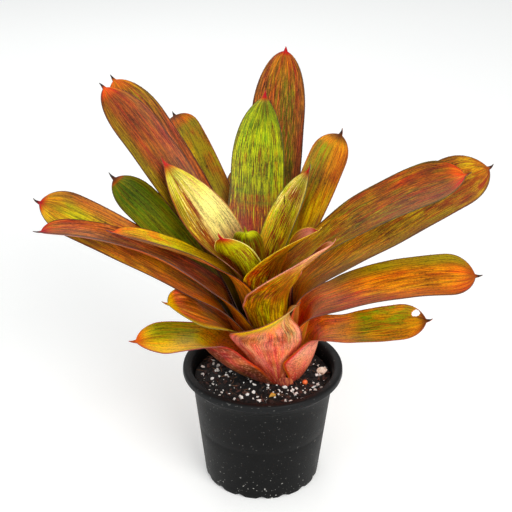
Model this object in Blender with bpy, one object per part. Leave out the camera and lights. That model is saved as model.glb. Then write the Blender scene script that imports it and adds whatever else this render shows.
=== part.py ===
"""A neoregelia bromeliad growing in a round nursery pot, as closed solids.

Units are metres and +Z is up. The origin is the centre of the pot's base, and -Y is the front.
The rosette is a spiral of strap leaves round a short stem. Each leaf starts on its own ring of the
stem, wraps the leaves inside it as a sheath, then bends outwards into a channelled blade that ends
in a small hook. The whole rosette leans: each level of it is shifted along X by its height.
"""
import math
import random
from dataclasses import dataclass

import bmesh
import bpy
import numpy as np

MM = 0.001

# Pot
POT_HEIGHT = 0.117
POT_FOOT_RADIUS = 0.0545
POT_BODY_RADIUS = 0.0660
POT_RIM_RADIUS = 0.0750
POT_WALL = 0.0016
POT_FLOOR = 0.0030
RIM_SKIRT = 0.0150
RIM_BAND = 0.0065
TURN_STEPS = 48
SCALLOP_EVERY = 3
SCALLOP_HEIGHT = 0.0022
REST_RADIUS = 0.0470
DRAIN_HOLES = 8
DRAIN_RADIUS = 0.0036
DRAIN_CIRCLE = 0.0380

# Soil
SOIL_LEVEL = 0.105
CLEARANCE = 0.0003
SOIL_ROUGHNESS = 0.0007
SOIL_SEED = 7

# Stem and the way the leaves sit on it
ROOT_X = 0.014
ROOT_Y = 0.006
ROSETTE_LEAN = -0.21
STEM_RADIUS = 0.0045
RING_PITCH = 0.00105
STEM_TOP = 0.014
STEM_SLOPE = 0.8
STEM_GAP = 0.00075
STEM_SHOULDER = 0.0240
STEM_DEPTH = 0.026
STEM_STEPS = 32

# Leaf blades
BLADE_THICKNESS = 0.00065
HOOK_LENGTH = 0.007
HOOK_HALF_WIDTH = 0.0011
TIGHTEST_CURL = 0.0012
ROWS = 14
SPINE_SAMPLES = 600


@dataclass(frozen=True)
class Leaf:
    """One leaf: lengths in millimetres, angles in degrees, rings counted from the heart outwards."""

    name: str
    tone: str
    ring: int
    azimuth: float
    length: float
    width: float
    sheath: float
    lean: float
    rise: float
    droop: float
    swing: float = 0
    belly: float = 0
    bend: float = 40
    foot: float = 22
    base: float = 60
    neck: float = 0.9
    wrap: float = 80
    hug: float = 0
    lift: float = 0
    cup: float = 60
    cup_tip: float = 0
    roll: float = 0
    skew: float = 0
    taper: float = 0.8
    ogive: float = 0.62
    across: int = 6


LEAVES = (
    Leaf("leaf_heart", "green", 0, 275, 140, 40, 75, 88, 89, 89, foot=12, base=40, cup=190,
         cup_tip=170, taper=0.45, ogive=0.4, across=8),
    Leaf("leaf_inner_front_left", "lime", 1, 230, 147, 46, 90, 87, 70, 56, foot=14, base=48,
         cup=70, roll=27, taper=1.1, across=8),
    Leaf("leaf_inner_right", "lime", 2, 27, 203, 48, 90, 86, 57, 52, foot=16, base=52, cup=80,
         taper=1.4, ogive=0.8),
    Leaf("leaf_inner_left", "lime", 3, 154, 206, 58, 90, 85, 63, 57, foot=18, cup=80, roll=-25,
         taper=1.5, ogive=0.8, across=8),
    Leaf("leaf_inner_back", "green", 4, 73, 266, 54, 95, 84, 60, 37, foot=20, base=70, neck=1.2,
         cup=66, cup_tip=50, taper=1.6, ogive=0.85, across=8),
    Leaf("leaf_inner_front_right", "rust", 5, -48, 188, 46, 92, 84, 57, 27, swing=36, bend=50,
         base=66, neck=1.2, cup=90, taper=1.1, across=8),
    Leaf("leaf_left_short", "olive", 6, 203, 212, 41, 98, 83, 37, 18, swing=-7, neck=1, wrap=66,
         cup=90, roll=4, taper=1.2, across=8),
    Leaf("leaf_right_upper", "olive", 6, -5, 306, 54, 95, 81, 39, 17, base=50, neck=0.95, wrap=50,
         roll=18, taper=0.7),
    Leaf("leaf_front_right_cupped", "rust", 7, -57, 205, 44, 82, 80, 44, 42, swing=34, bend=50,
         foot=24, base=78, neck=1.35, wrap=74, cup=80, taper=1.3, across=8),
    Leaf("leaf_upper_left_front", "mauve", 8, 149, 283, 46, 84, 80, 68, 48, base=46, neck=0.72,
         cup=50, roll=-20, taper=1),
    Leaf("leaf_upper_left_back", "mauve", 9, 138, 288, 44, 82, 79, 68, 43, foot=20, base=50,
         roll=-25, taper=1),
    Leaf("leaf_back_right", "olive", 9, 35, 244, 40, 80, 80, 56, 48, foot=17, base=36, neck=0.75,
         roll=16, taper=0.7),
    Leaf("leaf_back_left", "olive", 10, 113, 262, 36, 80, 78, 66, 12, base=50, roll=-20,
         taper=0.7),
    Leaf("leaf_back_tall", "mauve", 11, 72, 326, 56, 86, 78, 48, 42, base=54, neck=1, cup=66,
         taper=1.5),
    Leaf("leaf_left_folded", "mauve", 12, 191, 252, 38, 80, 78, 46, -2, foot=24, base=64,
         neck=1.4, cup=110, across=8),
    Leaf("leaf_right_long", "rust", 12, 5, 311, 56, 84, 76, 35, 24, foot=24, roll=28, taper=0.7),
    Leaf("leaf_left_green", "green", 13, 160, 214, 42, 72, 76, 56, 42, foot=24, cup=40, roll=-25,
         taper=0.7),
    Leaf("leaf_left_long", "rust", 14, 180, 249, 50, 74, 75, 40, 27, foot=26, base=74, neck=1.25,
         roll=-28, taper=0.6),
    Leaf("leaf_right_lower", "rust", 14, -4, 238, 46, 73, 69, 23, 1, swing=-4, foot=24, base=74,
         neck=1.35, wrap=62, cup=50, roll=26, taper=0.55),
    Leaf("leaf_back_hidden", "olive", 15, 90, 226, 48, 70, 68, 36, 14, base=54, taper=0.7),
    Leaf("leaf_front_left_curled", "rust", 15, 212, 130, 56, 62, 70, 42, 26, foot=32, base=84,
         neck=1.2, roll=-20, taper=0.7, across=8),
    Leaf("leaf_back_low", "olive", 16, 114, 195, 46, 60, 62, 20, -1, foot=24, base=56, taper=0.7),
    Leaf("leaf_front_coral", "coral", 17, -90, 132, 60, 56, 68, 56, 24, swing=70, foot=12,
         base=46, neck=1.2, wrap=52, skew=0.9, taper=1.1, across=8),
    Leaf("leaf_lowest_left", "yellow", 18, 196, 125, 42, 62, 45, 12, 0, belly=20, bend=18,
         foot=66, base=78, neck=1.15, wrap=88, hug=0.45, lift=5, cup=50, roll=-24, taper=1.1,
         across=8),
    Leaf("leaf_lowest_right", "coral", 18, -14, 166, 38, 53, 62, 17, 14, belly=12, bend=26,
         foot=46, base=84, neck=1.32, wrap=88, lift=8, cup=50, roll=28, taper=0.7, across=8),
)

# Base colour, roughness
TONES = {
    "green": ((0.16, 0.28, 0.03), 0.42),
    "lime": ((0.42, 0.48, 0.05), 0.42),
    "olive": ((0.27, 0.22, 0.03), 0.42),
    "mauve": ((0.25, 0.09, 0.05), 0.42),
    "rust": ((0.40, 0.14, 0.03), 0.42),
    "coral": ((0.52, 0.13, 0.07), 0.45),
    "yellow": ((0.50, 0.36, 0.03), 0.42),
    "stem": ((0.20, 0.12, 0.05), 0.70),
    "soil": ((0.018, 0.012, 0.010), 0.95),
    "pot": ((0.022, 0.022, 0.024), 0.45),
}


def material_of(tone):
    """The Principled material of one tone, made on its first use."""
    if tone in bpy.data.materials:
        return bpy.data.materials[tone]
    colour, roughness = TONES[tone]
    material = bpy.data.materials.new(tone)
    material.use_nodes = True
    shader = material.node_tree.nodes["Principled BSDF"]
    shader.inputs["Base Color"].default_value = (*colour, 1.0)
    shader.inputs["Roughness"].default_value = roughness
    shader.inputs["Metallic"].default_value = 0.0
    material.diffuse_color = (*colour, 1.0)
    return material


def object_from(name, mesh_builder, tone):
    """Turns a bmesh into a named object with its material, shaded smooth apart from sharp edges."""
    mesh = bpy.data.meshes.new(name)
    mesh_builder.to_mesh(mesh)
    mesh_builder.free()
    mesh.materials.append(material_of(tone))
    mesh.shade_smooth()
    mesh.set_sharp_from_angle(angle=math.radians(35))
    body = bpy.data.objects.new(name, mesh)
    bpy.context.scene.collection.objects.link(body)
    return body


def smooth(value):
    """Eases from 0 to 1 as the value goes from 0 to 1."""
    clipped = np.clip(value, 0.0, 1.0)
    return clipped * clipped * (3.0 - 2.0 * clipped)


def leaned(points):
    """Moves points of the upright rosette to the pot: to its root, and sideways with height."""
    level = np.maximum(points[..., 2], -0.0025)
    shifted = points + np.array([ROOT_X, ROOT_Y, SOIL_LEVEL])
    shifted[..., 0] += ROSETTE_LEAN * level
    return shifted


def ring_start(ring):
    """Radius and height, above the soil, at which a leaf of this ring leaves the stem."""
    radius = STEM_RADIUS + RING_PITCH * ring
    return radius, STEM_TOP - STEM_SLOPE * (radius - STEM_RADIUS)


def leaf_stations(leaf):
    """Distances along the leaf of its rows of points, closer together at the tip."""
    length = leaf.length * MM
    tip = leaf.taper * leaf.width * MM
    tip_rows = [length - HOOK_LENGTH - tip * part for part in (0.75, 0.42, 0.18, 0.04)] + [length]
    body_rows = np.linspace(0.0, length - HOOK_LENGTH - tip * 1.05, ROWS + 1 - len(tip_rows))
    return np.concatenate([body_rows, tip_rows])


def leaf_direction(leaf, along):
    """Elevation, azimuth and share of the blade passed, at distances along the leaf."""
    sheath = leaf.sheath * MM
    bend = leaf.bend * MM
    bent = smooth((along - (sheath - bend / 2)) / bend)
    blade = np.clip((along - sheath) / (leaf.length * MM - sheath), 0.0, 1.0)
    passed = np.clip(along / sheath, 0.0, 1.0)
    wall = leaf.lean + leaf.belly * (2.0 * passed - 1.0)
    drop = (leaf.droop - leaf.rise) * blade**1.5
    elevation = wall + (leaf.rise - wall + drop) * bent
    azimuth = leaf.azimuth + leaf.swing * smooth(blade)
    return np.radians(elevation), np.radians(azimuth), blade


def leaf_half_widths(leaf, along, blade):
    """Half the leaf's width across its surface, at distances along it, with and without its tip."""
    sheath = leaf.sheath * MM
    half = leaf.width * MM / 2
    foot = leaf.foot * MM / 2
    base = leaf.base * MM / 2
    neck = leaf.neck * half
    part = np.clip(along / sheath, 0.0, 1.0)
    wrapped = foot + (base - foot) * smooth(part / 0.6)
    wrapped = wrapped + (neck - base) * smooth((part - 0.55) / 0.5)
    spread = np.where(along < sheath, wrapped, neck + (half - neck) * smooth(blade / 0.5))
    tip = leaf.taper * leaf.width * MM
    left = leaf.length * MM - along
    closing = np.clip((tip + HOOK_LENGTH - left) / tip, 0.0, 1.0)
    outline = (1.0 - closing**2.4) ** leaf.ogive
    hook = HOOK_HALF_WIDTH * np.clip(left / HOOK_LENGTH, 0.4, 1.0)
    return np.maximum(spread * outline, hook), spread


def leaf_centreline(leaf, stations):
    """Points of the leaf's midrib in the upright rosette, by adding up its direction."""
    fine = np.linspace(0.0, leaf.length * MM, SPINE_SAMPLES + 1)
    elevation, azimuth, _ = leaf_direction(leaf, fine)
    step = np.stack([np.cos(elevation) * np.cos(azimuth), np.cos(elevation) * np.sin(azimuth),
                     np.sin(elevation)], axis=-1)
    radius, height = ring_start(leaf.ring)
    start = np.array([radius * math.cos(azimuth[0]), radius * math.sin(azimuth[0]), height])
    walked = np.cumsum((step[1:] + step[:-1]) / 2 * (fine[1] - fine[0]), axis=0)
    path = np.vstack([start, start + walked])
    return np.stack([np.interp(stations, fine, path[:, axis]) for axis in range(3)], axis=-1)


def leaf_grid(leaf):
    """Points of the leaf's middle surface, as rows along it and columns across it."""
    along = leaf_stations(leaf)
    elevation, azimuth, blade = leaf_direction(leaf, along)
    centre = leaf_centreline(leaf, along)
    half, spread = leaf_half_widths(leaf, along, blade)
    across = np.linspace(-1.0, 1.0, leaf.across + 1)

    # The sheath lies on a surface of revolution round the stem.
    start_radius, _ = ring_start(leaf.ring)
    radius = np.hypot(centre[:, 0], centre[:, 1])
    widest = math.radians(leaf.wrap)
    hugged = start_radius + (radius[:, None] - start_radius) * (1.0 - leaf.hug * across[None, :] ** 2)
    turn = azimuth[:, None] + across[None, :] * np.minimum(half[:, None] / hugged, widest)
    raised = smooth(along / (leaf.sheath * MM) / 0.5)
    level = centre[:, 2:3] + leaf.lift * MM * raised[:, None] * across[None, :] ** 2
    wrapped = np.stack([hugged * np.cos(turn), hugged * np.sin(turn), level], axis=-1)

    # The blade is a channel: an arc across the midrib, rolled about it towards the tip.
    side = np.stack([-np.sin(azimuth), np.cos(azimuth), np.zeros_like(azimuth)], axis=-1)
    ahead = np.stack([np.cos(elevation) * np.cos(azimuth), np.cos(elevation) * np.sin(azimuth),
                      np.sin(elevation)], axis=-1)
    inward = np.cross(ahead, side)
    roll = math.radians(leaf.roll) * smooth(blade / 0.6)[:, None]
    rolled_side = side * np.cos(roll) + inward * np.sin(roll)
    rolled_in = inward * np.cos(roll) - side * np.sin(roll)
    cup_tip = leaf.cup_tip or leaf.cup * 0.6
    sheath_arc = np.minimum(2 * half * np.sin(elevation) / radius, 2 * widest)
    blade_arc = np.radians(leaf.cup + (cup_tip - leaf.cup) * blade)
    opening = smooth(blade / 0.45)
    arc = np.maximum(sheath_arc * (1 - opening) + blade_arc * opening, 0.001)
    arc = np.minimum(arc, 2 * half / TIGHTEST_CURL)
    curl = (half / (arc / 2))[:, None]
    angle = across[None, :] * arc[:, None] / 2
    shift = leaf.skew * (spread - half)[:, None]
    channel = (centre[:, None, :] + (shift + curl * np.sin(angle))[..., None] * rolled_side[:, None, :]
               + (curl * (1 - np.cos(angle)))[..., None] * rolled_in[:, None, :])

    freed = smooth((along - leaf.sheath * MM + 0.010) / 0.045)[:, None, None]
    return leaned(wrapped * (1 - freed) + channel * freed)


def make_leaf(leaf):
    """One leaf: a flat grid moved onto its surface, thickened evenly to both sides."""
    points = leaf_grid(leaf)
    grid = bmesh.new()
    bmesh.ops.create_grid(grid, x_segments=leaf.across, y_segments=ROWS, size=1.0)
    for vertex in grid.verts:
        column = round((vertex.co.x + 1.0) / 2.0 * leaf.across)
        row = round((vertex.co.y + 1.0) / 2.0 * ROWS)
        vertex.co = points[row, column]
    bmesh.ops.triangulate(grid, faces=grid.faces, quad_method="FIXED")
    body = object_from(leaf.name, grid, leaf.tone)
    thickness = body.modifiers.new("blade_thickness", "SOLIDIFY")
    thickness.thickness = BLADE_THICKNESS
    thickness.offset = 0.0
    return body


def turned(profile, steps):
    """A closed solid of revolution round Z from a profile of (radius, height) that starts and ends on Z."""
    solid = bmesh.new()
    corners = [solid.verts.new((radius, 0.0, height)) for radius, height in profile]
    edges = [solid.edges.new(pair) for pair in zip(corners, corners[1:])]
    bmesh.ops.spin(solid, geom=corners + edges, cent=(0, 0, 0), axis=(0, 0, 1), angle=math.tau,
                   steps=steps, use_merge=True, use_duplicate=False)
    bmesh.ops.remove_doubles(solid, verts=solid.verts, dist=1e-6)
    bmesh.ops.recalc_face_normals(solid, faces=solid.faces)
    return solid


def pot_inner_radius(height):
    """Inner radius of the pot's tapered wall at a height."""
    share = height / (POT_HEIGHT - RIM_SKIRT)
    outer = POT_FOOT_RADIUS + (POT_BODY_RADIUS - POT_FOOT_RADIUS) * share
    return outer - POT_WALL


def cutter_object(name, solid):
    """A hidden cutting tool for a Boolean, shown as wires only."""
    tool = object_from(name, solid, "pot")
    tool.hide_render = True
    tool.display_type = "WIRE"
    return tool


def cut(body, tool):
    """Subtracts the tool from the body."""
    boolean = body.modifiers.new("cut_" + tool.name, "BOOLEAN")
    boolean.operation = "DIFFERENCE"
    boolean.solver = "EXACT"
    boolean.object = tool


def make_pot():
    """The tapered pot with its flared rim, scalloped foot edge and drainage holes."""
    body_top = POT_HEIGHT - RIM_SKIRT
    band_outer = POT_RIM_RADIUS
    profile = (
        (0.0, 0.0),
        (REST_RADIUS, 0.0),
        (POT_FOOT_RADIUS - 0.0008, 0.0),
        (POT_FOOT_RADIUS, 0.0012),
        (POT_BODY_RADIUS, body_top),
        (band_outer - 0.0006, POT_HEIGHT - RIM_BAND),
        (band_outer, POT_HEIGHT - RIM_BAND + 0.0012),
        (band_outer - 0.0004, POT_HEIGHT - 0.0010),
        (band_outer - 0.0022, POT_HEIGHT),
        (band_outer - 0.0066, POT_HEIGHT - 0.0004),
        (band_outer - 0.0085, POT_HEIGHT - 0.0024),
        (pot_inner_radius(body_top), body_top + 0.0010),
        (pot_inner_radius(POT_FLOOR), POT_FLOOR),
        (0.0, POT_FLOOR),
    )
    solid = turned(profile, TURN_STEPS)
    for vertex in solid.verts:
        radius = math.hypot(vertex.co.x, vertex.co.y)
        step = round(math.atan2(vertex.co.y, vertex.co.x) / math.tau * TURN_STEPS)
        if radius > REST_RADIUS + 0.002 and vertex.co.z < 0.002 and step % SCALLOP_EVERY == 0:
            vertex.co.z += SCALLOP_HEIGHT
    pot = object_from("pot", solid, "pot")

    drills = bmesh.new()
    for number in range(DRAIN_HOLES):
        angle = math.tau * (number + 0.5) / DRAIN_HOLES
        made = bmesh.ops.create_cone(drills, cap_ends=True, segments=10, radius1=DRAIN_RADIUS,
                                     radius2=DRAIN_RADIUS, depth=POT_FLOOR * 4)
        bmesh.ops.translate(drills, verts=made["verts"],
                            vec=(DRAIN_CIRCLE * math.cos(angle), DRAIN_CIRCLE * math.sin(angle), 0.0))
    cut(pot, cutter_object("drain_drills", drills))
    return pot


def stem_profile():
    """Profile of the stem's cone, shoulder and shaft, in the upright rosette."""
    top = STEM_TOP - STEM_GAP
    fall = top - STEM_SLOPE * (STEM_SHOULDER - STEM_RADIUS)
    return (
        (0.0, top),
        (STEM_RADIUS, top),
        (STEM_SHOULDER, fall),
        (STEM_SHOULDER, fall - 0.0012),
        (STEM_SHOULDER - 0.0060, fall - 0.0100),
        (STEM_SHOULDER - 0.0110, -STEM_DEPTH),
        (0.0, -STEM_DEPTH),
    )


def make_stem():
    """The short stem that every leaf grows from, its lower end in a hole in the soil."""
    solid = turned(stem_profile(), STEM_STEPS)
    for vertex in solid.verts:
        vertex.co = leaned(np.array(vertex.co))
    return object_from("stem", solid, "stem")


def make_soil():
    """The potting mix: a plug that fills the pot, uneven on top, with a plain hole for the stem."""
    bottom = POT_FLOOR + CLEARANCE
    edge = pot_inner_radius(SOIL_LEVEL - RIM_SKIRT) - CLEARANCE
    top_edge = pot_inner_radius(POT_HEIGHT - RIM_SKIRT) - CLEARANCE
    profile = (
        (0.0, bottom),
        (pot_inner_radius(bottom) - 2 * CLEARANCE, bottom),
        (edge, SOIL_LEVEL - RIM_SKIRT),
        (top_edge, SOIL_LEVEL - 0.0030),
        (top_edge - 0.0015, SOIL_LEVEL - 0.0008),
        (0.0555, SOIL_LEVEL),
        (0.0460, SOIL_LEVEL),
        (0.0, SOIL_LEVEL),
    )
    solid = turned(profile, TURN_STEPS)
    draw = random.Random(SOIL_SEED)
    for vertex in sorted(solid.verts, key=lambda corner: corner.index):
        if vertex.co.z > SOIL_LEVEL - 0.0001:
            vertex.co.z += draw.uniform(-SOIL_ROUGHNESS, SOIL_ROUGHNESS)
    soil = object_from("soil", solid, "soil")

    shoulder = STEM_SHOULDER + CLEARANCE + 0.0004
    hole = turned((
        (0.0, 0.0050),
        (shoulder + 0.0075, 0.0050),
        (shoulder + 0.0035, 0.0010),
        (shoulder, -0.0034),
        (shoulder, -STEM_DEPTH - CLEARANCE),
        (0.0, -STEM_DEPTH - CLEARANCE),
    ), STEM_STEPS)
    level_shift = ROSETTE_LEAN * -0.0025
    bmesh.ops.translate(hole, verts=hole.verts, vec=(ROOT_X + level_shift, ROOT_Y, SOIL_LEVEL))
    cut(soil, cutter_object("stem_hole", hole))
    return soil


def main():
    """Clears the scene, then makes the pot, the soil, the stem and the leaves."""
    for leftover in list(bpy.data.objects):
        bpy.data.objects.remove(leftover)
    make_pot()
    make_soil()
    make_stem()
    for leaf in LEAVES:
        make_leaf(leaf)


main()
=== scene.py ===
"""Dresses the potted neoregelia bromeliad: fine leaves, potting mix, moulded pot, light and camera.

Lengths are metres unless a name or docstring says millimetres, and +Z is up. The origin is the centre
of the pot's base, and -Y is the front.
"""

import logging
import math
import random
from dataclasses import dataclass, field
from enum import Enum
from typing import Any, Iterable, Optional, Sequence, Union

import bpy
import numpy as np
from mathutils import Matrix, Vector

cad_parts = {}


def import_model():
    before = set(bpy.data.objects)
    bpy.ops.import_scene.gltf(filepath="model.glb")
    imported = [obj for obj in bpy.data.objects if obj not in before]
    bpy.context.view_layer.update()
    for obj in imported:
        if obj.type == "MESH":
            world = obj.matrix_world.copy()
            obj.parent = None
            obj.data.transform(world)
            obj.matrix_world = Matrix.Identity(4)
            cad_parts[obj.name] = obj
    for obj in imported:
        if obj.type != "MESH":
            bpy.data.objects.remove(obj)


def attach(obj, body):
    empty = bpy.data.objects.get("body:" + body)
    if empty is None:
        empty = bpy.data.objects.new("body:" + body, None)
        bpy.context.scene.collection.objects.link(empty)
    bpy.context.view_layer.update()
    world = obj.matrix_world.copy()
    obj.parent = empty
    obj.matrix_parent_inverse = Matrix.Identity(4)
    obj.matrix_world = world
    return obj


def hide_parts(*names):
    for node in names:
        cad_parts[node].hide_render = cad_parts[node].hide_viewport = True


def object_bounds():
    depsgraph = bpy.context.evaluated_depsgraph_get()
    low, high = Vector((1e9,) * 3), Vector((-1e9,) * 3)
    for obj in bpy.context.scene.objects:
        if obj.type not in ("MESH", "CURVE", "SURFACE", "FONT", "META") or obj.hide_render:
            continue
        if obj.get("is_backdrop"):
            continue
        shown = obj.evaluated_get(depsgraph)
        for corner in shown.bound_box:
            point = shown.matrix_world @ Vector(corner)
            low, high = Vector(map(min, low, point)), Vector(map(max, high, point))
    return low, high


LOG = logging.getLogger("bromeliad")
BODY = "root"
MM = 0.001

Colour = tuple[float, float, float]
Span = tuple[float, float, float, float]
Points = np.ndarray


def ink(red: int, green: int, blue: int) -> Colour:
    """Turns a display colour into the linear colour that shaders use.

    Args:
        red: Red on the screen, from 0 to 255.
        green: Green on the screen, from 0 to 255.
        blue: Blue on the screen, from 0 to 255.

    Returns:
        The linear red, green and blue.
    """
    def linear(level: int) -> float:
        share = level / 255
        return share / 12.92 if share <= 0.04045 else ((share + 0.055) / 1.055) ** 2.4

    return linear(red), linear(green), linear(blue)


CREAM = ink(240, 226, 136)
LIME = ink(176, 178, 28)
LEAF = ink(108, 132, 10)
FERN = ink(74, 98, 6)
OLIVE = ink(138, 116, 12)
MOSS = ink(80, 68, 10)
YELLOW = ink(224, 182, 28)
AMBER = ink(214, 134, 16)
ORANGE = ink(204, 96, 10)
RUST = ink(158, 72, 14)
UMBER = ink(98, 50, 16)
MAUVE = ink(154, 80, 44)
PLUM = ink(84, 42, 26)
WINE = ink(120, 36, 20)
CORAL = ink(216, 86, 44)
BLUSH = ink(212, 106, 82)
MAROON = ink(150, 52, 44)
SALMON = ink(226, 128, 80)
ROSE = ink(232, 152, 126)
CRIMSON = ink(176, 30, 38)
SOOT = ink(30, 16, 12)
SCURF = ink(176, 146, 96)


class Tone(Enum):
    """The paint slot name of each group of leaves."""

    GREEN = "leaf_green"
    LIME = "leaf_lime"
    OLIVE = "leaf_olive"
    MAUVE = "leaf_mauve"
    RUST = "leaf_rust"
    CORAL = "leaf_coral"
    YELLOW = "leaf_yellow"


class Grain(Enum):
    """A mottle on a leaf: the size of its cells across and along the blade in millimetres, and its softness."""

    EVEN = (0.0, 0.0, 0.0)
    BROAD_STREAKS = (4.5, 60.0, 0.08)
    STREAKS = (2.0, 34.0, 0.045)
    FINE_STREAKS = (1.1, 15.0, 0.035)
    STIPPLE = (0.9, 2.4, 0.05)
    BLOTCHES = (10.0, 22.0, 0.12)
    BANDS = (40.0, 7.0, 0.12)


class Face(Enum):
    """The two faces of a blade, as the material slots that they take."""

    OUTER = 0
    INNER = 1


class Signal:
    """A number that varies over a surface: a socket with Python's arithmetic."""

    def __init__(self, graph: "Graph", socket: bpy.types.NodeSocket) -> None:
        """Wraps one output socket of a graph."""
        self.graph = graph
        self.socket = socket

    def _math(self, operation: str, first: Any, second: Any = 0.0) -> "Signal":
        """Adds a Math node on two numbers or signals and returns its result."""
        made = self.graph.node("ShaderNodeMath", {"operation": operation}, {0: first, 1: second})
        return Signal(self.graph, made.outputs[0])

    def __add__(self, other: Any) -> "Signal":
        """self + other."""
        return self._math("ADD", self, other)

    __radd__ = __add__

    def __sub__(self, other: Any) -> "Signal":
        """self - other."""
        return self._math("SUBTRACT", self, other)

    def __rsub__(self, other: Any) -> "Signal":
        """other - self."""
        return self._math("SUBTRACT", other, self)

    def __mul__(self, other: Any) -> "Signal":
        """self * other."""
        return self._math("MULTIPLY", self, other)

    __rmul__ = __mul__

    def __abs__(self) -> "Signal":
        """The size of self without its sign."""
        return self._math("ABSOLUTE", self)

    def rising(self, low: float, high: float) -> "Signal":
        """Eases from 0 at the low value to 1 at the high one, and falls where high is the smaller."""
        settings = {"interpolation_type": "SMOOTHSTEP", "clamp": True}
        flip = high < low
        inputs = {"Value": self, "From Min": min(low, high), "From Max": max(low, high),
                  "To Min": float(flip), "To Max": float(not flip)}
        return Signal(self.graph, self.graph.node("ShaderNodeMapRange", settings, inputs).outputs[0])


Input = Union[float, Colour, Sequence[float], Signal, bpy.types.NodeSocket]


class Graph:
    """The node tree of one material, ending in a Principled shader."""

    def __init__(self, name: str) -> None:
        """Makes the material with its shader and output nodes."""
        self.material = bpy.data.materials.new(name)
        self.material.use_nodes = True
        self.tree = self.material.node_tree
        self.shader = self.tree.nodes["Principled BSDF"]

    def node(self, kind: str, settings: dict[str, Any], inputs: dict[Union[int, str], Input]) -> bpy.types.Node:
        """Adds a node.

        Args:
            kind: The node's type, such as ShaderNodeMath.
            settings: Its properties; "stops" gives the stops of a colour ramp.
            inputs: Values or links by socket name or number.

        Returns:
            The node.
        """
        made = self.tree.nodes.new(kind)
        for key, value in settings.items():
            if key == "stops":
                self._set_stops(made.color_ramp, value)
            else:
                setattr(made, key, value)
        self.feed(made, inputs)
        return made

    def feed(self, target: bpy.types.Node, inputs: dict[Union[int, str], Input]) -> None:
        """Gives sockets of a node their values or links."""
        for key, value in inputs.items():
            socket = target.inputs[key]
            if isinstance(value, Signal):
                self.tree.links.new(value.socket, socket)
            elif isinstance(value, bpy.types.NodeSocket):
                self.tree.links.new(value, socket)
            elif isinstance(value, (int, float)):
                socket.default_value = value
            else:
                socket.default_value = (*value, 1.0) if socket.type == "RGBA" else tuple(value)

    @staticmethod
    def _set_stops(ramp: bpy.types.ColorRamp, stops: Sequence[tuple[float, Colour]]) -> None:
        """Sets the stops of a colour ramp, from left to right."""
        while len(ramp.elements) < len(stops):
            ramp.elements.new(1.0)
        for element, (place, colour) in zip(ramp.elements, stops):
            element.position = place
            element.color = (*colour, 1.0)

    def blend(self, under: Input, over: Input, factor: Union[float, Signal]) -> bpy.types.NodeSocket:
        """Lays one colour over another by a factor and returns the mixed colour."""
        mix = self.node("ShaderNodeMix", {"data_type": "RGBA"}, {0: factor, 6: under, 7: over})
        return mix.outputs[2]

    def noise(self, vector: Input, scale: float, detail: float = 2.0, roughness: float = 0.5,
              flat: bool = False) -> Signal:
        """A noise from 0 to 1 at places of a vector."""
        settings = {"noise_dimensions": "2D" if flat else "3D"}
        inputs = {"Vector": vector, "Scale": scale, "Detail": detail, "Roughness": roughness}
        return Signal(self, self.node("ShaderNodeTexNoise", settings, inputs).outputs[0])

    def scaled(self, vector: Input, factors: Sequence[float], shift: Sequence[float] = (0, 0, 0)) -> bpy.types.NodeSocket:
        """A vector multiplied by factors axis by axis, and shifted."""
        moved = self.node("ShaderNodeVectorMath", {"operation": "MULTIPLY_ADD"},
                          {0: vector, 1: tuple(factors), 2: tuple(shift)})
        return moved.outputs[0]

    def places(self) -> bpy.types.NodeSocket:
        """Object coordinates, in metres."""
        return self.node("ShaderNodeTexCoord", {}, {}).outputs["Object"]

    def bump(self, height: Signal, strength: float, distance: float) -> bpy.types.NodeSocket:
        """A normal that follows a height."""
        made = self.node("ShaderNodeBump", {}, {"Strength": strength, "Distance": distance, "Height": height})
        return made.outputs["Normal"]

    def finish(self, inputs: dict[Union[int, str], Input]) -> bpy.types.Material:
        """Feeds the Principled shader and returns the material."""
        self.feed(self.shader, inputs)
        return self.material


@dataclass(frozen=True)
class Coat:
    """One colour laid over a leaf's own, and where it shows.

    Attributes:
        colour: The coat's colour.
        amount: How much of the colour shows where the coat is thickest, from 0 to 1.
        grain: The mottle that breaks it up.
        cover: The share of the surface that the mottle covers.
        along: Where it fades in and out again along the leaf, with 0 at the foot and 1 at the tip.
        across: The same across it, with -1 at the right margin and 1 at the left, seen from the heart.
    """

    colour: Colour
    amount: float = 1.0
    grain: Grain = Grain.EVEN
    cover: float = 0.5
    along: Span = (-1.0, -0.9, 1.9, 2.0)
    across: Span = (-3.0, -2.9, 2.9, 3.0)


Stops = tuple[tuple[float, Colour], ...]


@dataclass(frozen=True)
class LeafPaint:
    """The colours of one leaf: ramps from foot to tip for each face, and the coats over them."""

    inner: Stops
    outer: Stops
    coats: tuple[Coat, ...] = ()
    outer_coats: tuple[Coat, ...] = ()
    tip: Colour = CRIMSON
    tip_length: float = 7.0
    hook: Colour = SOOT
    margin: Colour = UMBER
    roughness: float = 0.36


def left(start: float, end: float) -> Span:
    """The part of a blade from a place across it out to its left margin, fading in from start to end."""
    return start, end, 2.9, 3.0


def right(start: float, end: float) -> Span:
    """The part of a blade from its right margin in, fading out from start to end."""
    return -3.0, -2.9, start, end


def middle(inside: float, outside: float) -> Span:
    """The part of a blade within a distance of its midrib."""
    return -outside, -inside, inside, outside


def stretch(start: float, end: float, fade: float = 0.08) -> Span:
    """The part of a leaf between two places along it."""
    return start - fade, start + fade, end - fade, end + fade


DUSKY = (
    Coat(OLIVE, 0.55, Grain.BROAD_STREAKS, 0.5),
    Coat(PLUM, 0.30, Grain.STREAKS, 0.45),
    Coat(SCURF, 0.30, Grain.BANDS, 0.40, along=stretch(0.30, 0.9, 0.15)),
)
BROWN_BACK: Stops = ((0.0, BLUSH), (0.22, SALMON), (0.45, AMBER), (0.7, RUST), (0.9, MAUVE), (1.0, ORANGE))
GREEN_BACK: Stops = ((0.0, ROSE), (0.22, OLIVE), (0.55, OLIVE), (0.85, LEAF), (1.0, AMBER))


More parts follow.
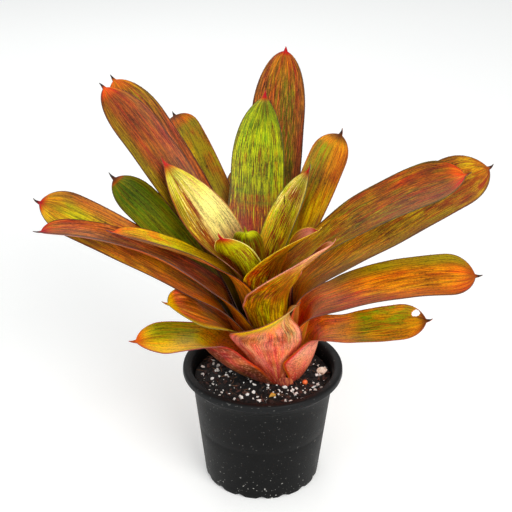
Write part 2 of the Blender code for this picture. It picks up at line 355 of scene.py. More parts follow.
@dataclass(frozen=True)
class LeafShape:
    """One leaf: lengths in millimetres, angles in degrees, rings counted from the heart outwards.

    Attributes:
        name: The node that the leaf stands for.
        tone: Its paint slot.
        ring: The ring of the stem that it grows from.
        azimuth: Its heading, from +X towards +Y.
        length: Its length along the midrib.
        width: The blade's width.
        sheath: The length of the wrapped part.
        lean: The sheath's elevation.
        rise: The blade's elevation after the bend.
        droop: The blade's elevation at the tip.
        swing: How far the blade turns sideways.
        belly: How much steeper the sheath is at its top, and shallower at its foot, than its lean.
        bend: The length over which sheath turns into blade.
        foot: The width at the stem.
        base: The widest width of the sheath.
        neck: The width where sheath turns into blade, as a share of the blade's.
        wrap: How far the sheath reaches round the stem to either side.
        hug: How much closer to the stem the sheath's margins are than its middle.
        lift: How much higher the sheath's margins are than its middle.
        cup: The blade's curl across, at the sheath.
        cup_tip: The same at the tip, or 0 for six tenths of it.
        roll: The blade's turn about its midrib.
        skew: How far the tip lies to the left of the midrib, as a share of the half width.
        taper: The length of the rounded tip, as a share of the width.
        ogive: How pointed the tip is.
        hook_turn: How far the hook turns up from the blade.
        wave: The height of the waves in its margins.
        tear: A hole torn in it: its places along and across, as shares, and its radius; or nothing.
    """

    name: str
    tone: Tone
    ring: int
    azimuth: float
    length: float
    width: float
    sheath: float
    lean: float
    rise: float
    droop: float
    swing: float = 0
    belly: float = 0
    bend: float = 40
    foot: float = 22
    base: float = 60
    neck: float = 0.9
    wrap: float = 80
    hug: float = 0
    lift: float = 0
    cup: float = 60
    cup_tip: float = 0
    roll: float = 0
    skew: float = 0
    taper: float = 0.8
    ogive: float = 0.62
    hook_turn: float = 25
    wave: float = 0.35
    tear: Optional[tuple[float, float, float]] = None


LEAVES = (
    LeafShape("leaf_heart", Tone.GREEN, 0, 275, 140, 40, 75, 88, 89, 89, foot=12, base=40,
              cup=190, cup_tip=170, taper=0.45, ogive=0.4, hook_turn=0),
    LeafShape("leaf_inner_front_left", Tone.LIME, 1, 230, 147, 46, 90, 87, 70, 56, foot=14,
              base=48, cup=70, roll=27, taper=1.1),
    LeafShape("leaf_inner_right", Tone.LIME, 2, 27, 203, 48, 90, 86, 57, 52, foot=16, base=52,
              cup=80, taper=1.4, ogive=0.8),
    LeafShape("leaf_inner_left", Tone.LIME, 3, 154, 206, 58, 90, 85, 63, 57, foot=18, cup=80,
              roll=-25, taper=1.5, ogive=0.8),
    LeafShape("leaf_inner_back", Tone.GREEN, 4, 73, 266, 54, 95, 84, 60, 37, foot=20, base=70,
              neck=1.2, cup=66, cup_tip=50, taper=1.6, ogive=0.85),
    LeafShape("leaf_inner_front_right", Tone.RUST, 5, -48, 188, 46, 92, 84, 57, 27, swing=36,
              bend=50, base=66, neck=1.2, cup=90, taper=1.1),
    LeafShape("leaf_left_short", Tone.OLIVE, 6, 203, 212, 41, 98, 83, 37, 18, swing=-7, neck=1,
              wrap=66, cup=90, roll=4, taper=1.2),
    LeafShape("leaf_right_upper", Tone.OLIVE, 6, -5, 306, 54, 95, 81, 39, 17, base=50, neck=0.95,
              wrap=50, roll=18, taper=0.7),
    LeafShape("leaf_front_right_cupped", Tone.RUST, 7, -57, 205, 44, 82, 80, 44, 42, swing=34,
              bend=50, foot=24, base=78, neck=1.35, wrap=74, cup=80, taper=1.3,
              wave=0),
    LeafShape("leaf_upper_left_front", Tone.MAUVE, 8, 149, 283, 46, 84, 80, 68, 48, base=46,
              neck=0.72, cup=50, roll=-20, taper=1, hook_turn=8),
    LeafShape("leaf_upper_left_back", Tone.MAUVE, 9, 138, 288, 44, 82, 79, 68, 43, foot=20,
              base=50, roll=-25, taper=1),
    LeafShape("leaf_back_right", Tone.OLIVE, 9, 35, 244, 40, 80, 80, 56, 48, foot=17, base=36,
              neck=0.75, roll=16, taper=0.7),
    LeafShape("leaf_back_left", Tone.OLIVE, 10, 113, 262, 36, 80, 78, 66, 12, base=50, roll=-20,
              taper=0.7),
    LeafShape("leaf_back_tall", Tone.MAUVE, 11, 72, 326, 56, 86, 78, 48, 42, base=54, neck=1,
              cup=66, taper=1.5),
    LeafShape("leaf_left_folded", Tone.MAUVE, 12, 191, 252, 38, 80, 78, 46, -2, foot=24, base=64,
              neck=1.4, cup=110),
    LeafShape("leaf_right_long", Tone.RUST, 12, 5, 311, 56, 84, 76, 35, 24, foot=24, roll=28,
              taper=0.7),
    LeafShape("leaf_left_green", Tone.GREEN, 13, 160, 214, 42, 72, 76, 56, 42, foot=24, cup=40,
              roll=-25, taper=0.7),
    LeafShape("leaf_left_long", Tone.RUST, 14, 180, 249, 50, 74, 75, 40, 27, foot=26, base=74,
              neck=1.25, roll=-28, taper=0.6),
    LeafShape("leaf_right_lower", Tone.RUST, 14, -4, 238, 46, 73, 69, 23, 1, swing=-4, foot=24,
              base=74, neck=1.35, wrap=62, cup=50, roll=26, taper=0.55),
    LeafShape("leaf_back_hidden", Tone.OLIVE, 15, 90, 226, 48, 70, 68, 36, 14, base=54, taper=0.7),
    LeafShape("leaf_front_left_curled", Tone.RUST, 15, 212, 130, 56, 62, 70, 42, 26, foot=32,
              base=84, neck=1.2, roll=-20, taper=0.7),
    LeafShape("leaf_back_low", Tone.OLIVE, 16, 114, 195, 46, 60, 62, 20, -1, foot=24, base=56,
              taper=0.7),
    LeafShape("leaf_front_coral", Tone.CORAL, 17, -90, 132, 60, 56, 68, 56, 24, swing=70, foot=12,
              base=46, neck=1.2, wrap=52, skew=0.9, taper=1.1),
    LeafShape("leaf_lowest_left", Tone.YELLOW, 18, 196, 125, 42, 62, 45, 12, 0, belly=20, bend=18,
              foot=66, base=78, neck=1.15, wrap=88, hug=0.45, lift=5, cup=50, roll=-24, taper=1.1),
    LeafShape("leaf_lowest_right", Tone.CORAL, 18, -14, 166, 38, 53, 62, 17, 14, belly=12,
              bend=26, foot=46, base=84, neck=1.32, wrap=88, lift=8, cup=50, roll=28, taper=0.7,
              tear=(0.905, 0.62, 3.4)),
)

PAINTS: dict[str, LeafPaint] = {
    "leaf_heart": LeafPaint(
        # Painted shade: the plum foot of the inner face stands for the shade deep in the rosette's cup.
        inner=((0.0, PLUM), (0.5, MOSS), (0.9, FERN), (1.0, LIME)),
        outer=((0.0, RUST), (0.55, RUST), (0.8, OLIVE), (0.9, LEAF), (0.96, LIME), (1.0, CREAM)),
        outer_coats=(
            Coat(UMBER, 0.9, Grain.STREAKS, 0.58, along=stretch(0.2, 0.93, 0.04)),
            Coat(WINE, 0.5, Grain.FINE_STREAKS, 0.45, along=stretch(0.2, 0.9)),
        ),
        tip=LIME, hook=OLIVE, margin=LIME),
    "leaf_inner_front_left": LeafPaint(
        # Painted shade: the plum foot of the inner face stands for the shade deep in the rosette's cup.
        inner=((0.0, PLUM), (0.5, OLIVE), (0.8, LIME), (1.0, LIME)),
        outer=((0.0, UMBER), (0.5, AMBER), (0.75, LIME), (0.9, LIME), (1.0, CREAM)),
        coats=(Coat(RUST, 0.7, Grain.STREAKS, 0.45),),
        outer_coats=(
            Coat(LIME, 0.8, Grain.STREAKS, 0.5),
            Coat(WINE, 0.8, Grain.FINE_STREAKS, 0.5, along=stretch(0.3, 0.88)),
        ),
        tip=CRIMSON, tip_length=12, hook=CRIMSON, margin=CREAM),
    "leaf_inner_right": LeafPaint(
        # Painted shade: the plum foot of the inner face stands for the shade deep in the rosette's cup.
        inner=((0.0, PLUM), (0.4, OLIVE), (0.6, YELLOW), (0.82, CREAM), (1.0, CREAM)),
        outer=GREEN_BACK,
        coats=(
            Coat(AMBER, 0.6, Grain.FINE_STREAKS, 0.5),
            Coat(RUST, 0.75, Grain.STREAKS, 0.55, across=middle(0.3, 0.8), along=stretch(0.3, 0.9)),
            Coat(WINE, 1.0, Grain.FINE_STREAKS, 0.6, across=middle(0.4, 0.85), along=stretch(0.3, 0.9)),
            Coat(LIME, 0.8, Grain.FINE_STREAKS, 0.45, along=stretch(0.55, 0.98)),
        ),
        outer_coats=DUSKY, tip=CRIMSON, tip_length=11, hook=CRIMSON, margin=MOSS),
    "leaf_inner_left": LeafPaint(
        # Painted highlight: the cream band from 0.68 to 0.86 brightens the blade's own yellow and lime.
        # Painted shade: the plum foot of the inner face stands for the shade deep in the rosette's cup.
        inner=((0.0, PLUM), (0.38, RUST), (0.52, SALMON), (0.68, CREAM), (0.86, CREAM), (1.0, LIME)),
        outer=GREEN_BACK,
        coats=(
            Coat(YELLOW, 0.7, Grain.STREAKS, 0.55),
            Coat(RUST, 0.9, Grain.STREAKS, 0.55, along=stretch(0.3, 0.84)),
            Coat(WINE, 0.9, Grain.STREAKS, 0.6, along=stretch(0.55, 0.9), across=(-1.4, -1.2, -0.75, -0.45)),
            Coat(WINE, 0.95, Grain.FINE_STREAKS, 0.6, along=stretch(0.3, 0.72)),
            Coat(LIME, 0.7, Grain.STREAKS, 0.5, along=stretch(0.75, 1.0)),
            # Painted highlight: a further cream sheen over the right half of the blade, from 0.6 to 0.82 along it.
            Coat(CREAM, 0.8, along=stretch(0.6, 0.82, 0.1), across=(-1.0, -0.5, 0.0, 0.35)),
            Coat(WINE, 0.9, Grain.FINE_STREAKS, 0.7, along=stretch(0.66, 0.93), across=(0.0, 0.1, 0.2, 0.3)),
            Coat(OLIVE, 0.9, Grain.STREAKS, 0.6, across=left(0.45, 0.75), along=stretch(0.4, 0.85)),
        ),
        outer_coats=DUSKY, tip=CRIMSON, tip_length=13, hook=CRIMSON, margin=MAUVE),
    "leaf_inner_back": LeafPaint(
        # Painted shade: the plum foot of the inner face stands for the shade deep in the rosette's cup.
        inner=((0.0, PLUM), (0.3, RUST), (0.5, AMBER), (0.6, LIME), (0.82, LEAF), (0.92, FERN),
               (0.97, SCURF), (1.0, SALMON)),
        outer=GREEN_BACK,
        coats=(
            Coat(LIME, 0.9, Grain.STREAKS, 0.5),
            Coat(RUST, 0.85, Grain.STREAKS, 0.6, along=stretch(0.3, 0.64, 0.06)),
            Coat(MAUVE, 0.8, Grain.STREAKS, 0.52, along=stretch(0.68, 0.76, 0.03), across=middle(0.6, 0.9)),
            Coat(WINE, 0.9, Grain.FINE_STREAKS, 0.62, along=stretch(0.3, 0.66)),
            Coat(LEAF, 0.8, Grain.BROAD_STREAKS, 0.5, along=stretch(0.6, 0.98)),
            Coat(FERN, 0.7, Grain.BANDS, 0.42, along=stretch(0.55, 0.95)),
            Coat(UMBER, 0.8, Grain.STREAKS, 0.36, along=stretch(0.6, 0.97)),
            Coat(LIME, 0.8, Grain.FINE_STREAKS, 0.45, along=stretch(0.6, 0.9)),
        ),
        outer_coats=DUSKY, tip=CRIMSON, tip_length=8, hook=CRIMSON, margin=MOSS),
    "leaf_inner_front_right": LeafPaint(
        # Painted shade: the inner face runs from soot at its foot to plum at its middle, for the shade inside the cup.
        inner=((0.0, SOOT), (0.5, PLUM), (0.8, MAUVE), (1.0, ROSE)),
        outer=((0.0, UMBER), (0.4, RUST), (0.6, ORANGE), (0.8, AMBER), (0.95, YELLOW), (1.0, ROSE)),
        outer_coats=(
            Coat(ORANGE, 0.7, Grain.STREAKS, 0.5),
            Coat(WINE, 0.7, Grain.FINE_STREAKS, 0.48, along=stretch(0.2, 0.85)),
            Coat(YELLOW, 0.7, Grain.FINE_STREAKS, 0.4),
        ),
        tip=CRIMSON, tip_length=9, hook=CRIMSON, margin=YELLOW),
    "leaf_left_short": LeafPaint(
        inner=((0.0, RUST), (0.45, AMBER), (0.75, LIME), (0.9, AMBER), (1.0, ORANGE)),
        outer=((0.0, RUST), (0.4, AMBER), (0.6, SALMON), (0.75, OLIVE), (1.0, RUST)),
        coats=(
            Coat(YELLOW, 0.7, Grain.STREAKS, 0.5),
            Coat(ORANGE, 0.7, Grain.BLOTCHES, 0.45, along=stretch(0.7, 1.0)),
        ),
        outer_coats=(
            Coat(UMBER, 0.75, Grain.STREAKS, 0.5),
            Coat(PLUM, 0.6, Grain.FINE_STREAKS, 0.5),
            Coat(SALMON, 0.5, Grain.FINE_STREAKS, 0.4),
        ),
        tip=CORAL, tip_length=14, hook=CRIMSON, margin=PLUM),
    "leaf_right_upper": LeafPaint(
        inner=((0.0, RUST), (0.33, AMBER), (0.52, YELLOW), (0.64, OLIVE), (0.78, RUST), (0.93, MAUVE), (1.0, MAUVE)),
        outer=BROWN_BACK,
        coats=(
            Coat(LIME, 0.85, Grain.STREAKS, 0.46, along=stretch(0.25, 0.8, 0.1), across=right(0.2, 0.7)),
            Coat(OLIVE, 0.8, Grain.BROAD_STREAKS, 0.5, along=stretch(0.45, 0.95)),
            Coat(ORANGE, 0.6, Grain.STREAKS, 0.5),
            Coat(WINE, 0.5, Grain.FINE_STREAKS, 0.5),
            Coat(MAUVE, 0.7, Grain.BLOTCHES, 0.5, along=stretch(0.6, 0.98)),
            Coat(PLUM, 0.6, Grain.FINE_STREAKS, 0.48, along=stretch(0.5, 0.97)),
        ),
        outer_coats=DUSKY, tip=CORAL, tip_length=18, hook=WINE, margin=MOSS),
    "leaf_front_right_cupped": LeafPaint(
        # Painted shade: the inner face runs from soot at its foot to plum at its middle, for the shade inside the cup.
        inner=((0.0, SOOT), (0.5, PLUM), (0.8, UMBER), (1.0, SALMON)),
        outer=((0.0, AMBER), (0.3, YELLOW), (0.45, SALMON), (0.65, AMBER), (0.85, ROSE), (1.0, ROSE)),
        outer_coats=(
            Coat(LIME, 0.6, Grain.STREAKS, 0.46),
            Coat(UMBER, 0.7, Grain.FINE_STREAKS, 0.52),
            Coat(RUST, 0.5, Grain.BROAD_STREAKS, 0.5),
            Coat(ROSE, 0.9, across=left(0.8, 0.95), along=stretch(0.45, 1.2, 0.1)),
        ),
        tip=ROSE, tip_length=14, hook=CRIMSON, margin=ROSE),
    "leaf_upper_left_front": LeafPaint(
        # Painted shade: the plum foot of the inner face stands for the shade deep in the rosette's cup.
        inner=((0.0, PLUM), (0.3, OLIVE), (0.5, AMBER), (0.65, MAUVE), (0.95, MAUVE), (1.0, RUST)),
        outer=BROWN_BACK,
        coats=(
            Coat(WINE, 0.6, Grain.STREAKS, 0.5, along=stretch(0.4, 0.95)),
            Coat(MAUVE, 0.7, Grain.BLOTCHES, 0.6, along=stretch(0.55, 0.97)),
            Coat(OLIVE, 0.8, Grain.STREAKS, 0.55, along=stretch(0.2, 0.62, 0.12)),
            Coat(OLIVE, 0.9, across=left(0.3, 0.8), along=stretch(0.3, 0.92)),
            Coat(PLUM, 0.6, Grain.FINE_STREAKS, 0.5),
        ),
        outer_coats=DUSKY, tip=CORAL, tip_length=12, hook=SOOT, margin=PLUM),
    "leaf_upper_left_back": LeafPaint(
        # Painted shade: the plum foot of the inner face stands for the shade deep in the rosette's cup.
        inner=((0.0, PLUM), (0.4, UMBER), (0.6, RUST), (0.8, MAUVE), (0.9, OLIVE), (1.0, AMBER)),
        outer=BROWN_BACK,
        coats=(
            Coat(UMBER, 0.8, Grain.STREAKS, 0.5),
            Coat(LIME, 0.5, Grain.FINE_STREAKS, 0.4, across=left(0.2, 0.6), along=stretch(0.6, 0.97)),
            Coat(SALMON, 0.35, Grain.STREAKS, 0.4, across=right(-0.2, 0.3)),
            Coat(PLUM, 0.5, Grain.FINE_STREAKS, 0.45),
            Coat(OLIVE, 0.6, across=left(0.3, 0.9), along=stretch(0.5, 0.97)),
        ),
        outer_coats=DUSKY, tip=ORANGE, tip_length=16, hook=SOOT, margin=PLUM),
    "leaf_back_right": LeafPaint(
        inner=((0.0, RUST), (0.35, AMBER), (0.65, YELLOW), (0.8, RUST), (1.0, AMBER)),
        outer=BROWN_BACK,
        coats=(
            Coat(OLIVE, 0.95, across=left(-0.25, 0.35)),
            Coat(LEAF, 0.5, Grain.BLOTCHES, 0.5, across=left(-0.1, 0.5)),
            Coat(AMBER, 0.6, Grain.STREAKS, 0.45, across=right(-0.1, 0.2)),
            Coat(RUST, 0.5, Grain.STREAKS, 0.5),
            Coat(AMBER, 0.9, along=(0.90, 0.935, 1.9, 2.0)),
        ),
        outer_coats=DUSKY, tip=UMBER, tip_length=11, hook=SOOT, margin=RUST),
    "leaf_back_left": LeafPaint(
        inner=((0.0, RUST), (0.35, AMBER), (0.6, OLIVE), (0.9, OLIVE), (1.0, AMBER)),
        outer=BROWN_BACK,
        coats=(
            Coat(OLIVE, 0.9, across=left(-0.3, 0.3)),
            Coat(YELLOW, 0.4, Grain.STREAKS, 0.4, across=left(-0.3, 0.3)),
            Coat(RUST, 0.6, Grain.BLOTCHES, 0.45),
            Coat(ORANGE, 0.8, along=(0.90, 0.94, 1.9, 2.0)),
        ),
        outer_coats=DUSKY, tip=UMBER, tip_length=10, hook=SOOT, margin=RUST),
    "leaf_back_tall": LeafPaint(
        # Painted shade: the plum foot of the inner face stands for the shade deep in the rosette's cup.
        inner=((0.0, PLUM), (0.4, UMBER), (0.65, MAUVE), (0.82, RUST), (0.93, ORANGE), (1.0, ORANGE)),
        outer=BROWN_BACK,
        coats=(
            Coat(OLIVE, 0.85, Grain.BROAD_STREAKS, 0.6, along=stretch(0.3, 0.95)),
            Coat(UMBER, 0.55, Grain.STREAKS, 0.5),
            Coat(LEAF, 0.6, Grain.STREAKS, 0.6, across=(-0.75, -0.45, -0.1, 0.1), along=stretch(0.4, 0.86)),
            Coat(MAUVE, 0.8, across=left(0.45, 0.8), along=stretch(0.5, 0.93)),
            Coat(MAUVE, 0.8, across=right(-0.8, -0.55), along=stretch(0.5, 0.93)),
            Coat(SALMON, 0.5, Grain.FINE_STREAKS, 0.4),
            Coat(PLUM, 0.6, Grain.FINE_STREAKS, 0.5),
        ),
        outer_coats=DUSKY, tip=CRIMSON, tip_length=7, hook=CRIMSON, margin=PLUM),
    "leaf_left_folded": LeafPaint(
        inner=((0.0, UMBER), (0.5, RUST), (0.9, RUST), (1.0, ORANGE)),
        outer=((0.0, MAUVE), (0.3, AMBER), (0.5, SALMON), (0.7, MAUVE), (0.9, MAUVE), (1.0, ORANGE)),
        coats=(Coat(PLUM, 0.6, Grain.STREAKS, 0.5), Coat(SALMON, 0.5, Grain.FINE_STREAKS, 0.45)),
        outer_coats=(
            Coat(UMBER, 0.6, Grain.STREAKS, 0.5),
            Coat(ORANGE, 0.6, Grain.FINE_STREAKS, 0.5, along=stretch(0.6, 1.0)),
            Coat(PLUM, 0.5, Grain.FINE_STREAKS, 0.4),
        ),
        tip=CRIMSON, tip_length=12, hook=SOOT, margin=PLUM),
    "leaf_right_long": LeafPaint(
        inner=((0.0, ORANGE), (0.3, AMBER), (0.5, AMBER), (0.66, RUST), (0.93, RUST), (1.0, AMBER)),
        outer=BROWN_BACK,
        coats=(
            Coat(OLIVE, 0.8, Grain.STREAKS, 0.5, along=stretch(0.3, 0.85)),
            Coat(YELLOW, 0.5, Grain.FINE_STREAKS, 0.45, along=stretch(0.4, 0.85)),
            Coat(OLIVE, 0.7, across=right(-0.85, -0.4), along=stretch(0.3, 0.75)),
            Coat(YELLOW, 0.7, Grain.BLOTCHES, 0.5, along=stretch(0.9, 1.2, 0.04)),
            Coat(WINE, 0.4, Grain.FINE_STREAKS, 0.5),
        ),
        outer_coats=DUSKY, tip=RUST, tip_length=9, hook=SOOT, margin=UMBER),
    "leaf_left_green": LeafPaint(
        inner=((0.0, OLIVE), (0.35, OLIVE), (0.6, LEAF), (0.93, FERN), (1.0, OLIVE)),
        outer=GREEN_BACK,
        coats=(
            Coat(OLIVE, 0.6, Grain.BROAD_STREAKS, 0.45),
            Coat(MOSS, 0.5, Grain.STREAKS, 0.4),
            Coat(ORANGE, 0.95, along=(0.945, 0.955, 1.9, 2.0)),
            Coat(UMBER, 1.0, along=(0.96, 0.966, 1.9, 2.0)),
        ),
        outer_coats=DUSKY, tip=PLUM, tip_length=7, hook=SOOT, margin=PLUM),
    "leaf_left_long": LeafPaint(
        inner=((0.0, MAUVE), (0.25, SALMON), (0.5, AMBER), (0.7, AMBER), (0.88, OLIVE), (1.0, AMBER)),
        outer=BROWN_BACK,
        coats=(
            Coat(AMBER, 0.6, Grain.BLOTCHES, 0.5),
            Coat(RUST, 0.7, Grain.BLOTCHES, 0.45, across=left(-0.4, 0.4), along=stretch(0.4, 0.85)),
            Coat(LIME, 0.75, along=stretch(0.78, 0.88, 0.07), across=middle(0.2, 0.6)),
            Coat(MAUVE, 0.7, across=right(-0.75, -0.45), along=stretch(0.5, 0.9)),
            Coat(YELLOW, 0.8, Grain.STREAKS, 0.5, along=stretch(0.88, 1.2, 0.04), across=left(0.0, 0.4)),
            Coat(UMBER, 0.45, Grain.STREAKS, 0.42),
        ),
        outer_coats=DUSKY, tip=CRIMSON, tip_length=7, hook=SOOT, margin=UMBER),
    "leaf_right_lower": LeafPaint(
        inner=((0.0, MAROON), (0.16, CORAL), (0.34, ORANGE), (0.5, ORANGE), (0.7, AMBER), (0.93, ORANGE), (1.0, RUST)),
        outer=BROWN_BACK,
        coats=(
            Coat(AMBER, 0.7, Grain.STREAKS, 0.5, along=stretch(0.3, 0.9)),
            Coat(RUST, 0.65, Grain.STREAKS, 0.5, along=stretch(0.3, 0.95)),
            Coat(OLIVE, 0.95, across=left(0.3, 0.8), along=stretch(0.38, 0.98)),
            Coat(RUST, 0.7, across=right(-0.8, -0.3), along=stretch(0.3, 0.9)),
        ),
        outer_coats=DUSKY, tip=RUST, tip_length=10, hook=SOOT, margin=UMBER),
    "leaf_back_hidden": LeafPaint(
        # Painted shade: the plum foot of the inner face stands for the shade deep in the rosette's cup.
        inner=((0.0, PLUM), (0.35, OLIVE), (0.7, RUST), (0.95, ORANGE), (1.0, AMBER)),
        outer=BROWN_BACK,
        coats=(Coat(OLIVE, 0.7, Grain.STREAKS, 0.5), Coat(RUST, 0.6, Grain.BLOTCHES, 0.45)),
        outer_coats=DUSKY, tip=RUST, tip_length=9),
    "leaf_front_left_curled": LeafPaint(
        inner=((0.0, RUST), (0.3, AMBER), (0.6, AMBER), (0.85, SALMON), (1.0, YELLOW)),
        outer=((0.0, SALMON), (0.3, RUST), (0.6, UMBER), (1.0, YELLOW)),
        coats=(
            Coat(SALMON, 0.6, Grain.STREAKS, 0.5),
            Coat(UMBER, 0.6, Grain.BROAD_STREAKS, 0.5, along=stretch(0.2, 0.85)),
            Coat(UMBER, 0.5, Grain.FINE_STREAKS, 0.5),
            Coat(YELLOW, 0.7, across=left(0.55, 0.9), along=stretch(0.5, 1.2)),
        ),
        outer_coats=(
            Coat(WINE, 0.6, Grain.STREAKS, 0.5),
            Coat(OLIVE, 0.9, across=left(0.85, 0.95)),
            Coat(SCURF, 0.2, Grain.BANDS, 0.4),
        ),
        tip=YELLOW, tip_length=12, hook=CRIMSON, margin=OLIVE),
    "leaf_back_low": LeafPaint(
        # Painted shade: the plum foot of the inner face stands for the shade deep in the rosette's cup.
        inner=((0.0, PLUM), (0.35, AMBER), (0.7, OLIVE), (0.95, ORANGE), (1.0, RUST)),
        outer=BROWN_BACK,
        coats=(Coat(ORANGE, 0.7, Grain.STREAKS, 0.5), Coat(LEAF, 0.5, Grain.BLOTCHES, 0.45)),
        outer_coats=DUSKY, tip=RUST, tip_length=9),
    "leaf_front_coral": LeafPaint(
        inner=((0.0, WINE), (0.35, RUST), (0.6, ORANGE), (0.9, AMBER), (1.0, SCURF)),
        outer=((0.0, MAROON), (0.18, BLUSH), (0.45, BLUSH), (0.65, SALMON), (0.85, LIME), (1.0, SCURF)),
        coats=(Coat(UMBER, 0.5, Grain.STREAKS, 0.5),),
        outer_coats=(
            Coat(ROSE, 0.5, Grain.STIPPLE, 0.35),
            Coat(WINE, 0.35, Grain.STREAKS, 0.4, along=stretch(-1, 0.6)),
            Coat(SCURF, 0.8, Grain.FINE_STREAKS, 0.6, along=stretch(0.4, 1.2), across=left(0.35, 0.6)),
            Coat(MAUVE, 0.7, Grain.STREAKS, 0.5, along=stretch(0.4, 1.2), across=left(0.35, 0.6)),
            Coat(MAROON, 0.6, Grain.BLOTCHES, 0.45, along=stretch(-1, 0.6)),
            Coat(ROSE, 0.5, Grain.BLOTCHES, 0.4, along=stretch(-1, 0.7)),
            Coat(YELLOW, 0.9, across=right(-0.85, -0.55), along=stretch(0.6, 1.2)),
        ),
        tip=SCURF, tip_length=14, hook=MAUVE, margin=MAUVE),
    "leaf_lowest_left": LeafPaint(
        inner=((0.0, CORAL), (0.3, SALMON), (0.42, YELLOW), (0.8, YELLOW), (0.92, AMBER), (1.0, ORANGE)),
        # Painted shade: soot and plum darken the sheath's own maroon towards its foot, by the soil.
        outer=((0.0, SOOT), (0.14, PLUM), (0.34, PLUM), (0.5, MAROON), (1.0, AMBER)),
        coats=(
            Coat(LEAF, 0.8, across=right(-0.3, 0.3), along=stretch(0.5, 0.85)),
            Coat(AMBER, 0.4, Grain.STREAKS, 0.45),
            Coat(ORANGE, 0.35, Grain.BLOTCHES, 0.45, along=stretch(0.3, 0.55)),
        ),
        outer_coats=(
            Coat(BLUSH, 0.4, Grain.BLOTCHES, 0.5),
            Coat(PLUM, 0.7, Grain.BLOTCHES, 0.6),
            Coat(ROSE, 0.25, Grain.STIPPLE, 0.3),
            Coat(ORANGE, 0.9, across=left(0.95, 0.985), along=stretch(0.25, 0.5)),
        ),
        tip=ORANGE, tip_length=10, hook=RUST, margin=MAROON),
    "leaf_lowest_right": LeafPaint(
        inner=((0.0, CORAL), (0.25, SALMON), (0.4, SALMON), (0.5, AMBER), (0.6, LEAF), (0.75, OLIVE), (0.88, AMBER),
               (1.0, RUST)),
        outer=((0.0, MAROON), (0.1, BLUSH), (0.24, ROSE), (0.38, ROSE), (0.6, OLIVE), (1.0, RUST)),
        coats=(
            Coat(AMBER, 0.6, Grain.STREAKS, 0.5),
            Coat(LEAF, 0.85, Grain.BLOTCHES, 0.6, across=left(-0.5, 0.2), along=stretch(0.55, 0.9)),
            Coat(RUST, 0.5, Grain.FINE_STREAKS, 0.5),
        ),
        outer_coats=(
            Coat(BLUSH, 0.5, Grain.BLOTCHES, 0.5, along=stretch(-1, 0.45)),
            Coat(ROSE, 0.5, Grain.STIPPLE, 0.35, along=stretch(-1, 0.4)),
            Coat(CRIMSON, 0.8, across=right(-0.96, -0.88), along=stretch(-1, 0.35)),
        ),
        tip=UMBER, tip_length=10, hook=SOOT, margin=RUST),
}


class Bench:
    """Steps that every piece goes through, done with Blender's own operators."""

    @staticmethod
    def clear_selection() -> None:
        """Leaves edit mode and deselects every object."""
        if bpy.context.object and bpy.context.object.mode != "OBJECT":
            bpy.ops.object.mode_set(mode="OBJECT")
        bpy.ops.object.select_all(action="DESELECT")

    @staticmethod
    def take(name: str) -> bpy.types.Object:
        """Names the primitive that was just added and returns it."""
        made = bpy.context.object
        made.name = name
        made.data.name = name
        return made

    @staticmethod
    def choose(piece: bpy.types.Object) -> None:
        """Selects one piece alone and makes it the active one."""
        Bench.clear_selection()
        piece.select_set(True)
        bpy.context.view_layer.objects.active = piece

    @staticmethod
    def settle(piece: bpy.types.Object) -> None:
        """Puts the piece's place, turn and scale into its mesh."""
        Bench.choose(piece)
        bpy.ops.object.transform_apply(location=True, rotation=True, scale=True)

    @staticmethod
    def apply_all(piece: bpy.types.Object) -> None:
        """Applies every modifier of a piece, in order."""
        Bench.choose(piece)
        for modifier in list(piece.modifiers):
            bpy.ops.object.modifier_apply(modifier=modifier.name)

    @staticmethod
    def shade(piece: bpy.types.Object, angle: float = 50.0) -> None:
        """Shades a piece smooth, apart from edges sharper than an angle in degrees."""
        Bench.choose(piece)
        bpy.ops.object.shade_smooth_by_angle(angle=math.radians(angle))

    @staticmethod
    def join(name: str, pieces: Sequence[bpy.types.Object]) -> bpy.types.Object:
        """Joins pieces into the first one."""
        Bench.choose(pieces[0])
        for piece in pieces:
            piece.select_set(True)
        bpy.ops.object.join()
        return Bench.take(name)

    @staticmethod
    def corners(piece: bpy.types.Object) -> Points:
        """The piece's vertices as an array of points."""
        flat = np.empty(len(piece.data.vertices) * 3)
        piece.data.vertices.foreach_get("co", flat)
        return flat.reshape(-1, 3)

    @staticmethod
    def move_corners(piece: bpy.types.Object, points: Points) -> None:
        """Moves the piece's vertices to new points."""
        piece.data.vertices.foreach_set("co", np.ascontiguousarray(points, dtype=np.float32).ravel())
        piece.data.update()

    @staticmethod
    def turned(name: str, profile: Sequence[tuple[float, float]], steps: int) -> bpy.types.Object:
        """Raises a round form ring by ring.

        Args:
            name: The piece's name.
            profile: Radius and height of each ring; the first and the last ring are closed by a face.
            steps: Number of corners round each ring.

        Returns:
            The closed piece.
        """
        Bench.clear_selection()
        radius, height = profile[0]
        bpy.ops.mesh.primitive_circle_add(vertices=steps, radius=radius, fill_type="NGON",
                                          location=(0.0, 0.0, height))
        piece = Bench.take(name)
        Bench.settle(piece)
        bpy.ops.object.mode_set(mode="EDIT")
        bpy.ops.mesh.select_all(action="SELECT")
        for next_radius, next_height in profile[1:]:
            bpy.ops.mesh.extrude_region_move(TRANSFORM_OT_translate={"value": (0.0, 0.0, next_height - height)})
            share = next_radius / radius
            bpy.ops.transform.resize(value=(share, share, 1.0), center_override=(0.0, 0.0, next_height))
            radius, height = next_radius, next_height
        bpy.ops.mesh.select_all(action="SELECT")
        bpy.ops.mesh.normals_make_consistent(inside=False)
        bpy.ops.object.mode_set(mode="OBJECT")
        return piece

    @staticmethod
    def ride(piece: bpy.types.Object, slot: str, *nodes: str) -> bpy.types.Object:
        """Hands a finished piece to the frame: attaches it to its body and hides the nodes it stands for; the paint
        slot is not used.
        """
        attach(piece, BODY)
        if nodes:
            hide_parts(*nodes)
        LOG.info("%s: %d faces", piece.name, len(piece.data.polygons))
        return piece


def ease(value: Points) -> Points:
    """Eases from 0 to 1 as the value goes from 0 to 1."""
    clipped = np.clip(value, 0.0, 1.0)
    return clipped * clipped * (3.0 - 2.0 * clipped)


